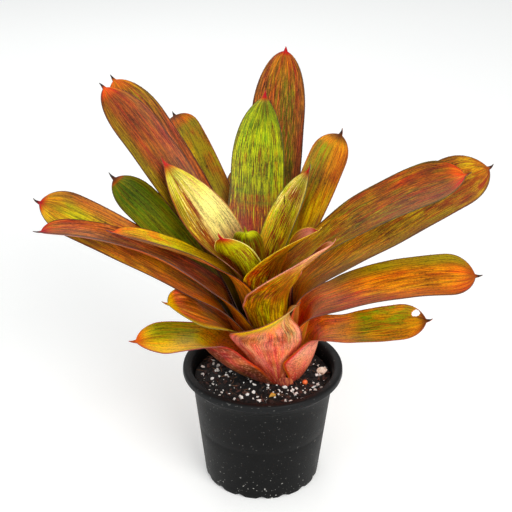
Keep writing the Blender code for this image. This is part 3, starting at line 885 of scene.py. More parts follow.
@dataclass(frozen=True)
class Root:
    """Where the rosette stands and how it leans.

    Attributes:
        x: Place of the root along X.
        y: Place of the root along Y.
        soil: Height of the soil.
        lean: Shift along X for each unit of height.
        stem_radius: Radius of the ring that the heart leaf grows from.
        ring_pitch: Distance from ring to ring.
        stem_top: Height of the stem's top above the soil.
        slope: Fall of the stem's shoulder.
    """

    x: float = 0.014
    y: float = 0.006
    soil: float = 0.105
    lean: float = -0.21
    stem_radius: float = 0.0045
    ring_pitch: float = 0.00105
    stem_top: float = 0.014
    slope: float = 0.8

    def leaned(self, points: Points) -> Points:
        """Moves points of the upright rosette to the pot: to its root, and sideways with height."""
        level = np.maximum(points[..., 2], -0.0025)
        shifted = points + np.array([self.x, self.y, self.soil])
        shifted[..., 0] += self.lean * level
        return shifted

    def ring(self, number: int) -> tuple[float, float]:
        """Radius and height above the soil at which a leaf of this ring leaves the stem."""
        radius = self.stem_radius + self.ring_pitch * number
        return radius, self.stem_top - self.slope * (radius - self.stem_radius)


ROOT = Root()


class LeafSkin:
    """The materials of one leaf: a face each for inside and outside, and its margin."""

    def __init__(self, shape: LeafShape, paint: LeafPaint) -> None:
        """Keeps the leaf's shape, for its real sizes, and its paint."""
        self.shape = shape
        self.paint = paint
        self.seed = float(sum(ord(letter) for letter in shape.name) % 97)

    def materials(self) -> list[bpy.types.Material]:
        """The leaf's materials in the order of their slots."""
        return [self._face(face) for face in Face] + [self._margin()]

    def _coordinates(self, graph: Graph) -> tuple[bpy.types.NodeSocket, Signal, Signal]:
        """The place on the blade in millimetres, and its shares across (-1 to 1) and along (0 to 1)."""
        place = graph.node("ShaderNodeUVMap", {"uv_map": "UVMap"}, {}).outputs[0]
        parts = graph.node("ShaderNodeSeparateXYZ", {}, {0: place})
        across = Signal(graph, parts.outputs[0]) * 2.0 - 1.0
        along = Signal(graph, parts.outputs[1])
        sheet = graph.scaled(place, (self.shape.width, self.shape.length, 1.0))
        return sheet, across, along

    def _grain(self, graph: Graph, sheet: bpy.types.NodeSocket, coat: Coat, shift: float) -> Signal:
        """The coat's mottle as a mask."""
        across_cell, along_cell, softness = coat.grain.value
        spread = graph.scaled(sheet, (1 / across_cell, 1 / along_cell, 1.0), (shift, self.seed + shift, 0.0))
        mottle = graph.noise(spread, 1.0, detail=3.0, roughness=0.55, flat=True)
        middle_level = 0.5 + (0.5 - coat.cover) * 0.45
        return mottle.rising(middle_level - softness, middle_level + softness)

    def _window(self, value: Signal, span: Span) -> Union[Signal, None]:
        """The mask of a span, or nothing where the span has no end inside the leaf."""
        mask = None
        if span[0] > -1.0:
            mask = value.rising(span[0], span[1])
        if span[3] < 1.5:
            fall = value.rising(span[3], span[2])
            mask = fall if mask is None else mask * fall
        return mask

    def _coated(self, graph: Graph, colour: bpy.types.NodeSocket, coats: Iterable[Coat],
                sheet: bpy.types.NodeSocket, across: Signal, along: Signal) -> bpy.types.NodeSocket:
        """Lays the coats over a colour one by one."""
        for number, coat in enumerate(coats):
            mask: Union[float, Signal] = coat.amount
            if coat.grain is not Grain.EVEN:
                mask = self._grain(graph, sheet, coat, 7.3 * (number + 1)) * mask
            for window in (self._window(along, coat.along), self._window(across, coat.across)):
                if window is not None:
                    mask = window * mask
            colour = graph.blend(colour, coat.colour, mask)
        return colour

    def _face(self, face: Face) -> bpy.types.Material:
        """The material of one face of the blade."""
        paint = self.paint
        graph = Graph(f"{self.shape.name}_{face.name.lower()}")
        sheet, across, along = self._coordinates(graph)
        inside = face is Face.INNER
        ramp = graph.node("ShaderNodeValToRGB", {"stops": paint.inner if inside else paint.outer}, {0: along})
        coats = paint.coats if inside else paint.outer_coats
        colour = self._coated(graph, ramp.outputs[0], coats, sheet, across, along)

        left_over = (1.0 - along) * self.shape.length
        hook_length = LeafBuilder.hook_length / MM
        tip_patch = left_over.rising(hook_length + paint.tip_length, hook_length)
        colour = graph.blend(colour, paint.tip, tip_patch)
        colour = graph.blend(colour, paint.margin, abs(across).rising(0.93, 0.985) * 0.85)
        colour = graph.blend(colour, paint.hook, left_over.rising(hook_length * 1.1, hook_length * 0.5))

        veins = graph.noise(graph.scaled(sheet, (0.95, 0.035, 1.0)), 1.0, detail=4.0, roughness=0.6, flat=True)
        clouds = graph.noise(graph.scaled(sheet, (0.07, 0.035, 1.0)), 1.0, detail=3.0, flat=True)
        pores = graph.noise(graph.scaled(sheet, (1.1, 0.42, 1.0)), 1.0, detail=3.0, roughness=0.7, flat=True)
        drift = graph.noise(graph.scaled(sheet, (0.16, 0.022, 1.0)), 1.0, detail=4.0, roughness=0.6, flat=True)
        sheath_end = self.shape.sheath / self.shape.length
        veined = along.rising(sheath_end * 0.6, sheath_end * 1.3) * 0.42 + 0.12
        shade = clouds * 1.1 + 0.81 - veins.rising(0.48, 0.58) * veined - pores.rising(0.49, 0.60) * 0.42
        tint = graph.node("ShaderNodeHueSaturation", {}, {
            "Color": colour, "Hue": drift * 0.09 + 0.456, "Saturation": 1.07, "Value": shade})
        height = veins * 0.7 + pores * 0.3
        return graph.finish({
            "Base Color": tint.outputs[0],
            "Roughness": pores * 0.16 + paint.roughness,
            "Normal": graph.bump(height, 0.5, 0.0005),
            "Specular IOR Level": 0.22,
        })

    def _margin(self) -> bpy.types.Material:
        """The material of the blade's thin edge and its spines."""
        graph = Graph(f"{self.shape.name}_margin")
        speck = graph.noise(graph.places(), 900.0, detail=1.0)
        dark = tuple(level * 0.45 for level in self.paint.margin)
        return graph.finish({
            "Base Color": graph.blend(self.paint.margin, dark, speck.rising(0.4, 0.6)),
            "Roughness": 0.45,
        })


@dataclass
class LeafBuilder:
    """Builds one leaf as a fine blade with its sheath, hook and marginal spines.

    Attributes:
        shape: The leaf's sizes.
        paint: The leaf's colours.
        columns: Faces across the blade.
        rows: Faces along it, from foot to tip.
        thickness: The blade's thickness.
        spine_pitch: Distance between marginal spines.
        spine_length: Length of a spine.
        knee: The depth inside the solid model's box over which a leaf is eased back.
        margin_gap: The room left inside that box for a blade's thickness and spines.
    """

    shape: LeafShape
    paint: LeafPaint
    room: list[list[float]]
    columns: int = 28
    rows: int = 110
    tip_rows: int = 26
    hook_rows: int = 8
    knee: float = 0.004
    margin_gap: float = 0.0007
    thickness: float = 0.0006
    spine_pitch: float = 0.0060
    spine_length: float = 0.0011
    samples: int = 900
    hook_length = 0.007
    hook_half_width = 0.0019
    tightest_curl = 0.0012

    def stations(self) -> Points:
        """Distances along the leaf of its rows of points, closer together at the tip."""
        length = self.shape.length * MM
        tip = self.shape.taper * self.shape.width * MM
        shoulder = length - self.hook_length - tip
        body = np.linspace(0.0, shoulder, self.rows + 1 - self.tip_rows - self.hook_rows)
        closing = 1.0 - (1.0 - np.linspace(0.0, 1.0, self.tip_rows + 1)[1:]) ** 2.2
        point = np.linspace(length - self.hook_length, length, self.hook_rows + 1)[1:]
        return np.concatenate([body, shoulder + tip * closing, point])

    def direction(self, along: Points) -> tuple[Points, Points, Points]:
        """Elevation, azimuth and share of the blade passed, at distances along the leaf."""
        shape = self.shape
        sheath = shape.sheath * MM
        bend = shape.bend * MM
        length = shape.length * MM
        bent = ease((along - (sheath - bend / 2)) / bend)
        blade = np.clip((along - sheath) / (length - sheath), 0.0, 1.0)
        wall = shape.lean + shape.belly * (2.0 * np.clip(along / sheath, 0.0, 1.0) - 1.0)
        drop = (shape.droop - shape.rise) * blade**1.5
        elevation = wall + (shape.rise - wall + drop) * bent
        elevation = elevation + shape.hook_turn * ease((along - length + self.hook_length) / self.hook_length)
        azimuth = shape.azimuth + shape.swing * ease(blade)
        return np.radians(elevation), np.radians(azimuth), blade

    def half_widths(self, along: Points, blade: Points) -> tuple[Points, Points]:
        """Half the leaf's width across its surface, at distances along it, with and without its tip."""
        shape = self.shape
        half = shape.width * MM / 2
        foot = shape.foot * MM / 2
        base = shape.base * MM / 2
        neck = shape.neck * half
        part = np.clip(along / (shape.sheath * MM), 0.0, 1.0)
        wrapped = foot + (base - foot) * ease(part / 0.6)
        wrapped = wrapped + (neck - base) * ease((part - 0.55) / 0.5)
        spread = np.where(part < 1.0, wrapped, neck + (half - neck) * ease(blade / 0.5))
        tip = shape.taper * shape.width * MM
        remaining = shape.length * MM - along
        closing = np.clip((tip + self.hook_length - remaining) / tip, 0.0, 1.0)
        outline = (1.0 - closing**2.4) ** shape.ogive
        hook = self.hook_half_width * np.clip(remaining / self.hook_length, 0.0, 1.0) ** 1.2 + 0.0002
        return np.hypot(spread * outline, hook), spread

    def centreline(self, stations: Points) -> Points:
        """Points of the leaf's midrib in the upright rosette, by adding up its direction."""
        fine = np.linspace(0.0, self.shape.length * MM, self.samples + 1)
        elevation, azimuth, _ = self.direction(fine)
        step = np.stack([np.cos(elevation) * np.cos(azimuth), np.cos(elevation) * np.sin(azimuth),
                         np.sin(elevation)], axis=-1)
        radius, height = ROOT.ring(self.shape.ring)
        start = np.array([radius * math.cos(azimuth[0]), radius * math.sin(azimuth[0]), height])
        walked = np.cumsum((step[1:] + step[:-1]) / 2 * (fine[1] - fine[0]), axis=0)
        path = np.vstack([start, start + walked])
        return np.stack([np.interp(stations, fine, path[:, axis]) for axis in range(3)], axis=-1)

    def surface(self, along: Points, across: Points) -> Points:
        """Points of the leaf's middle surface, in rows along it and columns across it.

        Args:
            along: Distances from the foot.
            across: Shares from -1 at the right margin to 1 at the left one.

        Returns:
            An array of rows by columns by three, in the pot's frame.
        """
        shape = self.shape
        elevation, azimuth, blade = self.direction(along)
        centre = self.centreline(along)
        half, spread = self.half_widths(along, blade)

        # The sheath lies on a surface of revolution round the stem.
        start_radius, _ = ROOT.ring(shape.ring)
        radius = np.hypot(centre[:, 0], centre[:, 1])
        widest = math.radians(shape.wrap)
        hugged = start_radius + (radius[:, None] - start_radius) * (1.0 - shape.hug * across[None, :] ** 2)
        turn = azimuth[:, None] + across[None, :] * np.minimum(half[:, None] / hugged, widest)
        raised = ease(along / (shape.sheath * MM) / 0.5)
        level = centre[:, 2:3] + shape.lift * MM * raised[:, None] * across[None, :] ** 2
        wrapped = np.stack([hugged * np.cos(turn), hugged * np.sin(turn), level], axis=-1)

        # The blade is a channel: an arc across the midrib, rolled about it towards the tip.
        side = np.stack([-np.sin(azimuth), np.cos(azimuth), np.zeros_like(azimuth)], axis=-1)
        ahead = np.stack([np.cos(elevation) * np.cos(azimuth), np.cos(elevation) * np.sin(azimuth),
                          np.sin(elevation)], axis=-1)
        inward = np.cross(ahead, side)
        roll = math.radians(shape.roll) * ease(blade / 0.6)[:, None]
        rolled_side = side * np.cos(roll) + inward * np.sin(roll)
        rolled_in = inward * np.cos(roll) - side * np.sin(roll)
        cup_tip = shape.cup_tip or shape.cup * 0.6
        sheath_arc = np.minimum(2 * half * np.sin(elevation) / radius, 2 * widest)
        blade_arc = np.radians(shape.cup + (cup_tip - shape.cup) * blade)
        opening = ease(blade / 0.45)
        arc = np.maximum(sheath_arc * (1 - opening) + blade_arc * opening, 0.001)
        arc = np.minimum(arc, 2 * half / self.tightest_curl)
        curl = (half / (arc / 2))[:, None]
        angle = across[None, :] * arc[:, None] / 2
        shift = shape.skew * (spread - half)[:, None]
        channel = (centre[:, None, :] + (shift + curl * np.sin(angle))[..., None] * rolled_side[:, None, :]
                   + (curl * (1 - np.cos(angle)))[..., None] * rolled_in[:, None, :])
        channel = channel + (self._waves(along, across, blade, half))[..., None] * rolled_in[:, None, :]

        freed = ease((along - shape.sheath * MM + 0.010) / 0.045)[:, None, None]
        return ROOT.leaned(wrapped * (1 - freed) + channel * freed)

    def _waves(self, along: Points, across: Points, blade: Points, half: Points) -> Points:
        """Low waves over the blade, highest at its margins and gone at the hook."""
        draw = random.Random(self.shape.name)
        phase = [draw.uniform(0.0, math.tau) for _ in range(4)]
        height = self.shape.wave * MM * ease(blade / 0.2) * np.clip(half / 0.010, 0.0, 1.0)
        edge = across[None, :] ** 2
        run = along[:, None]
        wave = np.sin(run / 0.0085 + phase[0] + across[None, :] * 1.4) * edge * 0.6
        wave = wave + np.sin(run / 0.0170 + phase[1] - across[None, :] * 2.0) * (0.35 + edge * 0.65)
        wave = wave + np.sin(run / 0.0260 + phase[2] + across[None, :] * 4.0 + phase[3]) * 0.7
        return wave * height[:, None]

    def build(self) -> bpy.types.Object:
        """Makes the leaf and hands it to the frame.

        Returns:
            The leaf as one piece.
        """
        along = self.stations()
        across = np.linspace(-1.0, 1.0, self.columns + 1)
        points = self._kept_inside(self.surface(along, across))
        Bench.clear_selection()
        bpy.ops.mesh.primitive_grid_add(x_subdivisions=self.columns, y_subdivisions=self.rows, size=2.0)
        blade = Bench.take(f"{self.shape.name}_blade")
        flat = Bench.corners(blade)
        column = np.rint((flat[:, 0] + 1.0) / 2.0 * self.columns).astype(int)
        row = np.rint((flat[:, 1] + 1.0) / 2.0 * self.rows).astype(int)
        Bench.move_corners(blade, points[row, column])

        corner_of_loop = np.empty(len(blade.data.loops), dtype=np.int32)
        blade.data.loops.foreach_get("vertex_index", corner_of_loop)
        unrolled = np.stack([column / self.columns, along[row] / (self.shape.length * MM)], axis=-1)
        blade.data.uv_layers[0].name = "UVMap"
        blade.data.uv_layers[0].data.foreach_set("uv", unrolled[corner_of_loop].astype(np.float32).ravel())
        for material in LeafSkin(self.shape, self.paint).materials():
            blade.data.materials.append(material)

        wall = blade.modifiers.new("blade_thickness", "SOLIDIFY")
        wall.thickness = self.thickness
        wall.offset = 0.0
        wall.material_offset = Face.INNER.value
        wall.material_offset_rim = len(Face)
        Bench.apply_all(blade)
        if self.shape.tear:
            self._tear(blade)
        leaf = Bench.join(blade.name, [blade, self._spines(along, points)])
        Bench.shade(leaf)
        return Bench.ride(leaf, self.shape.tone.value, self.shape.name)

    def _kept_inside(self, points: Points) -> Points:
        """Eases points that come near a side of the solid model's box back inside it."""
        low, high = np.array(self.room)
        low = low + self.margin_gap + self.knee
        high = high - self.margin_gap - self.knee
        over = np.maximum(points - high, 0.0)
        under = np.maximum(low - points, 0.0)
        return np.clip(points, low, high) + self.knee * (np.tanh(over / self.knee) - np.tanh(under / self.knee))

    def _tear(self, blade: bpy.types.Object) -> None:
        """Cuts the torn hole, a dented oval, through the blade."""
        share, side, radius = self.shape.tear
        place = self.surface(np.array([share * self.shape.length * MM]), np.array([side]))[0, 0]
        Bench.clear_selection()
        bpy.ops.mesh.primitive_ico_sphere_add(subdivisions=3, radius=radius * MM, location=tuple(place),
                                              scale=(1.35, 0.9, 1.0))
        bite = Bench.take(f"{self.shape.name}_bite")
        Bench.settle(bite)
        points = Bench.corners(bite)
        ragged = 1.0 + 0.16 * np.sin(points[:, 0] * 2100.0) * np.cos(points[:, 2] * 1700.0 + points[:, 1] * 900.0)
        Bench.move_corners(bite, place + (points - place) * ragged[:, None])
        cut = blade.modifiers.new("tear", "BOOLEAN")
        cut.object = bite
        cut.solver = "EXACT"
        Bench.apply_all(blade)
        bpy.data.objects.remove(bite)

    def _spines(self, along: Points, points: Points) -> bpy.types.Object:
        """The small spines of both margins, copies of one cone, pointing out and towards the tip."""
        Bench.clear_selection()
        bpy.ops.mesh.primitive_cone_add(vertices=4, radius1=self.spine_length * 0.2, radius2=0.0,
                                        depth=self.spine_length)
        spine = Bench.take(f"{self.shape.name}_spine")
        template = Bench.corners(spine) + np.array([0.0, 0.0, self.spine_length * 0.3])
        first = self.shape.sheath * MM * 1.1
        last = self.shape.length * MM - self.hook_length - 0.004
        places = np.arange(first, last, self.spine_pitch)
        copies = []
        for edge, inner in ((0, 1), (-1, -2)):
            margin = np.stack([np.interp(places, along, points[:, edge, axis]) for axis in range(3)], axis=-1)
            inside = np.stack([np.interp(places, along, points[:, inner, axis]) for axis in range(3)], axis=-1)
            ahead = np.gradient(margin, axis=0)
            outward = margin - inside
            outward = outward / np.linalg.norm(outward, axis=-1, keepdims=True)
            ahead = ahead / np.linalg.norm(ahead, axis=-1, keepdims=True)
            for place, out, on in zip(margin, outward, ahead):
                turn = (Vector(out) + Vector(on) * 0.9).to_track_quat("Z", "Y").to_matrix()
                copies.append(template @ np.array(turn).T + place)
        bpy.ops.object.mode_set(mode="EDIT")
        bpy.ops.mesh.select_all(action="SELECT")
        for _ in copies[1:]:
            bpy.ops.mesh.duplicate()
        bpy.ops.object.mode_set(mode="OBJECT")
        Bench.move_corners(spine, np.concatenate(copies))
        spine.data.materials.append(bpy.data.materials[f"{self.shape.name}_margin"])
        return spine


class Rosette:
    """All the leaves of the plant."""

    def __init__(self, shapes: Sequence[LeafShape], paints: dict[str, LeafPaint],
                 room: list[list[float]]) -> None:
        """Keeps the shapes and paints of the leaves.

        Args:
            shapes: The leaves, from the heart outwards.
            paints: Their colours, by name.
            room: The lowest and highest corner of the box that they stay inside.
        """
        self.shapes = shapes
        self.paints = paints
        self.room = room

    def build(self) -> list[bpy.types.Object]:
        """Builds the leaves from the heart outwards."""
        return [LeafBuilder(shape, self.paints[shape.name], self.room).build() for shape in self.shapes]


@dataclass
class Pot:
    """The moulded nursery pot.

    Attributes:
        height: Overall height.
        foot_radius: Radius of the wall at the foot.
        body_radius: Radius of the wall under the rim's skirt.
        rim_radius: Radius of the rim.
        wall: Thickness of the wall.
        floor: Thickness of the base.
        skirt: Depth of the rim's slanted skirt and its band together.
        band: Depth of the rim's band.
        steps: Corners round each ring.
        scallops: Number of notches round the foot's edge.
        scallop_height: Height of a notch.
        rest_radius: Radius of the flat disc that the pot stands on.
        seam_height: Height of the faint ring moulded round the wall.
        drains: Number of drainage holes.
        drain_radius: Radius of a drainage hole.
        drain_circle: Radius of the circle that the drainage holes are on.
    """

    height: float = 0.117
    foot_radius: float = 0.0545
    body_radius: float = 0.0660
    rim_radius: float = 0.0750
    wall: float = 0.0016
    floor: float = 0.0030
    skirt: float = 0.0150
    band: float = 0.0065
    steps: int = 192
    scallops: int = 16
    scallop_height: float = 0.0022
    rest_radius: float = 0.0470
    seam_height: float = 0.0560
    drains: int = 8
    drain_radius: float = 0.0036
    drain_circle: float = 0.0380

    def outer_radius(self, height: float) -> float:
        """Outer radius of the tapered wall at a height."""
        return self.foot_radius + (self.body_radius - self.foot_radius) * height / (self.height - self.skirt)

    def inner_radius(self, height: float) -> float:
        """Inner radius of the tapered wall at a height."""
        return self.outer_radius(height) - self.wall

    def profile(self) -> list[tuple[float, float]]:
        """Rings of the pot from the middle of its underside round to the middle of its floor."""
        top = self.height
        shoulder = top - self.skirt
        band_foot = top - self.band
        rim = self.rim_radius
        rings = [(0.004, 0.0), (self.rest_radius * 0.5, 0.0), (self.rest_radius, 0.0),
                 (self.foot_radius - 0.0022, 0.0), (self.foot_radius - 0.0008, 0.0),
                 (self.foot_radius - 0.0001, 0.0007), (self.outer_radius(0.0025), 0.0025)]
        for height in np.linspace(0.006, self.seam_height - 0.0012, 6):
            rings.append((self.outer_radius(height), height))
        rings += [(self.outer_radius(self.seam_height) - 0.00022, self.seam_height),
                  (self.outer_radius(self.seam_height + 0.0012), self.seam_height + 0.0012)]
        for height in np.linspace(self.seam_height + 0.010, shoulder - 0.0010, 5):
            rings.append((self.outer_radius(height), height))
        rings += [(self.body_radius + 0.0003, shoulder), (self.body_radius + 0.0012, shoulder + 0.0010),
                  (rim - 0.0018, band_foot - 0.0012), (rim - 0.0007, band_foot - 0.0002),
                  (rim - 0.0002, band_foot + 0.0004), (rim, band_foot + 0.0012),
                  (rim - 0.0002, top - 0.0022), (rim - 0.0005, top - 0.0010),
                  (rim - 0.0012, top - 0.0003), (rim - 0.0022, top), (rim - 0.0044, top - 0.00005),
                  (rim - 0.0066, top - 0.0004), (rim - 0.0079, top - 0.0013), (rim - 0.0085, top - 0.0026)]
        inner_top = shoulder + 0.0010
        rings += [(self.inner_radius(shoulder) + 0.0008, inner_top + 0.0030),
                  (self.inner_radius(shoulder), inner_top), (self.inner_radius(0.05), 0.05),
                  (self.inner_radius(self.floor), self.floor), (0.004, self.floor)]
        return rings

    def build(self) -> bpy.types.Object:
        """Makes the pot with its scalloped foot and drilled base, and hands it to the frame."""
        pot = Bench.turned("pot_moulding", self.profile(), self.steps)
        points = Bench.corners(pot)
        radius = np.hypot(points[:, 0], points[:, 1])
        angle = np.arctan2(points[:, 1], points[:, 0])
        notch = np.maximum(0.0, np.cos(angle * self.scallops)) ** 1.5 * self.scallop_height
        foot = (radius > self.foot_radius - 0.0025) & (points[:, 2] < 0.003)
        points[foot, 2] += notch[foot] * (1.0 - points[foot, 2] / 0.006)
        Bench.move_corners(pot, points)
        drill = self._drill()
        cut = pot.modifiers.new("drain_holes", "BOOLEAN")
        cut.object = drill
        cut.solver = "EXACT"
        Bench.apply_all(pot)
        bpy.data.objects.remove(drill)
        pot.data.materials.clear()
        pot.data.materials.append(self._plastic())
        Bench.shade(pot, 40.0)
        return Bench.ride(pot, "pot_plastic", "pot")

    def _drill(self) -> bpy.types.Object:
        """The ring of pins that cuts the drainage holes."""
        pins = []
        for number in range(self.drains):
            angle = math.tau * (number + 0.5) / self.drains
            Bench.clear_selection()
            place = (self.drain_circle * math.cos(angle), self.drain_circle * math.sin(angle), 0.0)
            bpy.ops.mesh.primitive_cylinder_add(vertices=32, radius=self.drain_radius, depth=self.floor * 4,
                                                location=place)
            pins.append(Bench.take(f"drain_pin_{number}"))
        return Bench.join("drain_drill", pins)

    def _plastic(self) -> bpy.types.Material:
        """Black recycled plastic: mottled, faintly scuffed, with dust near the foot."""
        graph = Graph("pot_plastic")
        place = graph.places()
        cloud = graph.noise(place, 60.0, detail=4.0)
        grain = graph.noise(place, 900.0, detail=2.0)
        scuff = graph.noise(graph.scaled(place, (1.0, 1.0, 8.0)), 90.0, detail=5.0, roughness=0.7)
        height = Signal(graph, graph.node("ShaderNodeSeparateXYZ", {}, {0: place}).outputs[2])
        colour = graph.blend(ink(2, 2, 2), ink(7, 7, 7), cloud.rising(0.35, 0.7))
        band = height.rising(self.height - self.band - 0.001, self.height - self.band + 0.001)
        colour = graph.blend(colour, ink(24, 25, 26), band * 0.6)
        colour = graph.blend(colour, ink(44, 44, 45), scuff.rising(0.62, 0.8) * 0.35)
        dust = graph.noise(place, 420.0, detail=1.0).rising(0.68, 0.76)
        low = height.rising(0.035, 0.002) * 0.7 + 0.10
        colour = graph.blend(colour, ink(205, 203, 196), dust * low)
        return graph.finish({
            "Base Color": colour,
            "Roughness": cloud * 0.2 + grain * 0.1 + 0.34,
            "Normal": graph.bump(grain + scuff * 0.6, 0.35, 0.0003),
            "Specular IOR Level": 0.14,
        })


@dataclass(frozen=True)
class Crumbs:
    """A kind of loose bit in the potting mix.

    Attributes:
        name: The piece's name.
        count: How many there are.
        low: Size of the smallest.
        high: Size of the largest.
        squash: Their height as a share of their width.
        stretch: Their length as a share of their width.
        sunk: The share of their height that is in the mix.
        detail: Subdivisions of the ball that they start from.
        colours: The darkest and the lightest colour.
        roughness: Their shader roughness.
    """

    name: str
    count: int
    low: float
    high: float
    squash: float
    stretch: float
    sunk: float
    detail: int
    colours: tuple[Colour, Colour]
    roughness: float = 0.85


CRUMBS = (
    Crumbs("soil_peat_lumps", 900, 0.0008, 0.0028, 0.8, 1.3, 0.4, 1, (ink(5, 3, 3), ink(31, 19, 14))),
    Crumbs("soil_perlite", 470, 0.0006, 0.0025, 0.8, 1.2, 0.2, 1, (ink(214, 208, 200), ink(255, 253, 250)), 0.7),
    Crumbs("soil_bark_bits", 150, 0.0012, 0.0034, 0.4, 1.9, 0.2, 1, (ink(24, 12, 9), ink(88, 48, 36))),
)


@dataclass
class PottingMix:
    """The potting mix: an uneven plug with peat lumps, perlite, bark, fibres and a few odd bits.

    Attributes:
        pot: The pot that holds it.
        level: Height of its surface.
        clearance: Gap to the pot's wall and floor.
        steps: Corners round each ring.
        rings: Rings on the surface.
        seed: Seed of its unevenness.
    """

    pot: Pot
    level: float = 0.105
    clearance: float = 0.0003
    steps: int = 160
    rings: int = 46
    seed: int = 11
    fibres: int = 90
    pieces: list[bpy.types.Object] = field(default_factory=list)

    def surface(self, x: Union[float, Points], y: Union[float, Points]) -> Union[float, Points]:
        """Height of the uneven surface at a place."""
        radius = np.hypot(x, y)
        edge = ease((radius - 0.050) / 0.014) * 0.0016
        swell = 0.0006 * np.sin(x * 95 + 1.1) * np.cos(y * 110 - 0.4) + 0.0004 * np.sin(x * 260 - y * 190)
        lumps = 0.00035 * np.sin(x * 900 + 2.0 * np.sin(y * 700)) * np.cos(y * 1000 - 1.7 * np.sin(x * 800))
        return self.level - edge + swell + lumps

    def build(self) -> list[bpy.types.Object]:
        """Makes the plug and everything that lies on it."""
        self._plug()
        draw = random.Random(self.seed)
        for kind in CRUMBS:
            self._scatter(kind, draw)
        self._fibres(draw)
        self._odd_bit("soil_orange_bead", (0.0395, -0.0180), 0.0027, 1.0, 2, (ink(232, 84, 30), ink(246, 120, 60)), 0.35)
        self._odd_bit("soil_ochre_chunk", (0.0085, -0.0400), 0.0036, 0.8, 3, (ink(210, 140, 40), ink(240, 190, 90)), 0.6)
        self._odd_bit("soil_pale_chunk", (0.0560, 0.0020), 0.0052, 0.7, 4, (ink(214, 184, 160), ink(250, 238, 224)), 0.7)
        return self.pieces

    def _plug(self) -> None:
        """The body of the mix, whose surface follows the uneven height."""
        bottom = self.pot.floor + self.clearance
        wall_top = self.level - 0.0030
        top_edge = self.pot.inner_radius(self.pot.height - self.pot.skirt) - self.clearance
        profile = [(0.004, bottom), (self.pot.inner_radius(bottom) - 2 * self.clearance, bottom),
                   (self.pot.inner_radius(self.level - 0.015) - self.clearance, self.level - 0.015),
                   (top_edge, wall_top)]
        profile += [(radius, self.level) for radius in np.linspace(top_edge - 0.0006, 0.0012, self.rings)]
        plug = Bench.turned("soil_plug", profile, self.steps)
        points = Bench.corners(plug)
        top = points[:, 2] > self.level - 0.0001
        points[top, 2] = self.surface(points[top, 0], points[top, 1])
        Bench.move_corners(plug, points)
        plug.data.materials.clear()
        plug.data.materials.append(self._peat())
        Bench.shade(plug, 60.0)
        self.pieces.append(Bench.ride(plug, "potting_mix", "soil"))

    def _peat(self) -> bpy.types.Material:
        """Dark moist peat with brown fibre and pale dust in it."""
        graph = Graph("peat")
        place = graph.places()
        crumb = graph.noise(place, 420.0, detail=6.0, roughness=0.7)
        cloud = graph.noise(place, 90.0, detail=3.0)
        colour = graph.blend(ink(3, 2, 2), ink(26, 15, 11), crumb.rising(0.5, 0.7))
        colour = graph.blend(colour, ink(60, 34, 24), graph.noise(place, 800.0, detail=3.0).rising(0.64, 0.74) * 0.5)
        colour = graph.blend(colour, ink(5, 4, 4), cloud.rising(0.45, 0.65) * 0.7)
        return graph.finish({
            "Base Color": colour,
            "Roughness": crumb * 0.3 + 0.62,
            "Normal": graph.bump(crumb, 0.9, 0.0010),
        })

    def _speckled(self, name: str, colours: tuple[Colour, Colour], roughness: float) -> bpy.types.Material:
        """A rough two-colour material for loose bits, whose tint also differs from bit to bit."""
        graph = Graph(name)
        place = graph.places()
        tint = graph.noise(place, 240.0, detail=1.0).rising(0.35, 0.65)
        fine = graph.noise(place, 1500.0, detail=2.0)
        colour = graph.blend(colours[0], colours[1], tint * 0.7 + fine * 0.4 - 0.05)
        return graph.finish({
            "Base Color": colour,
            "Roughness": roughness,
            "Normal": graph.bump(fine, 0.5, 0.0004),
        })

    def _lump(self, name: str, detail: int) -> Points:
        """Corner points of a ball of unit radius, added as a primitive and left for its copies."""
        Bench.clear_selection()
        bpy.ops.mesh.primitive_ico_sphere_add(subdivisions=detail, radius=1.0)
        return Bench.corners(Bench.take(name))

    @staticmethod
    def _dented(ball: Points, draw: random.Random, depth: float) -> Points:
        """A ball with its corners pushed in and out along a few random directions."""
        dented = ball.copy()
        for _ in range(4):
            ahead = np.array([draw.gauss(0, 1) for _ in range(3)])
            ahead = ahead / np.linalg.norm(ahead)
            facing = ball @ ahead
            dented -= ahead * (np.maximum(facing - draw.uniform(0.3, 0.7), 0.0) * depth)[:, None]
        return dented

    def _spot(self, draw: random.Random) -> tuple[float, float]:
        """A random place on the mix, inside the wall and clear of the stem."""
        while True:
            radius = 0.0625 * math.sqrt(draw.random())
            angle = draw.uniform(0.0, math.tau)
            x, y = radius * math.cos(angle), radius * math.sin(angle)
            if math.hypot(x - ROOT.x, y - ROOT.y) > 0.019:
                return x, y

    def _scatter(self, kind: Crumbs, draw: random.Random) -> None:
        """Scatters one kind of crumb over the mix, each one turned and dented its own way."""
        ball = self._lump(kind.name, kind.detail)
        piece = bpy.context.object
        copies = []
        for _ in range(kind.count):
            x, y = self._spot(draw)
            size = kind.low + (kind.high - kind.low) * draw.random() ** 1.6
            shaped = self._dented(ball, draw, 1.5) * np.array([kind.stretch, 1.0, kind.squash]) * size
            turn = draw.uniform(0.0, math.tau)
            tilt = draw.uniform(-0.5, 0.5)
            flat = np.array([[math.cos(turn), -math.sin(turn), 0], [math.sin(turn), math.cos(turn), 0], [0, 0, 1]])
            lifted = np.array([[1, 0, 0], [0, math.cos(tilt), -math.sin(tilt)], [0, math.sin(tilt), math.cos(tilt)]])
            height = self.surface(x, y) + size * kind.squash * (1.0 - 2.0 * kind.sunk)
            copies.append(shaped @ lifted.T @ flat.T + np.array([x, y, height]))
        self._multiply(piece, copies)
        piece.data.materials.append(self._speckled(kind.name, kind.colours, kind.roughness))
        Bench.shade(piece, 20.0)
        self.pieces.append(Bench.ride(piece, "potting_mix"))

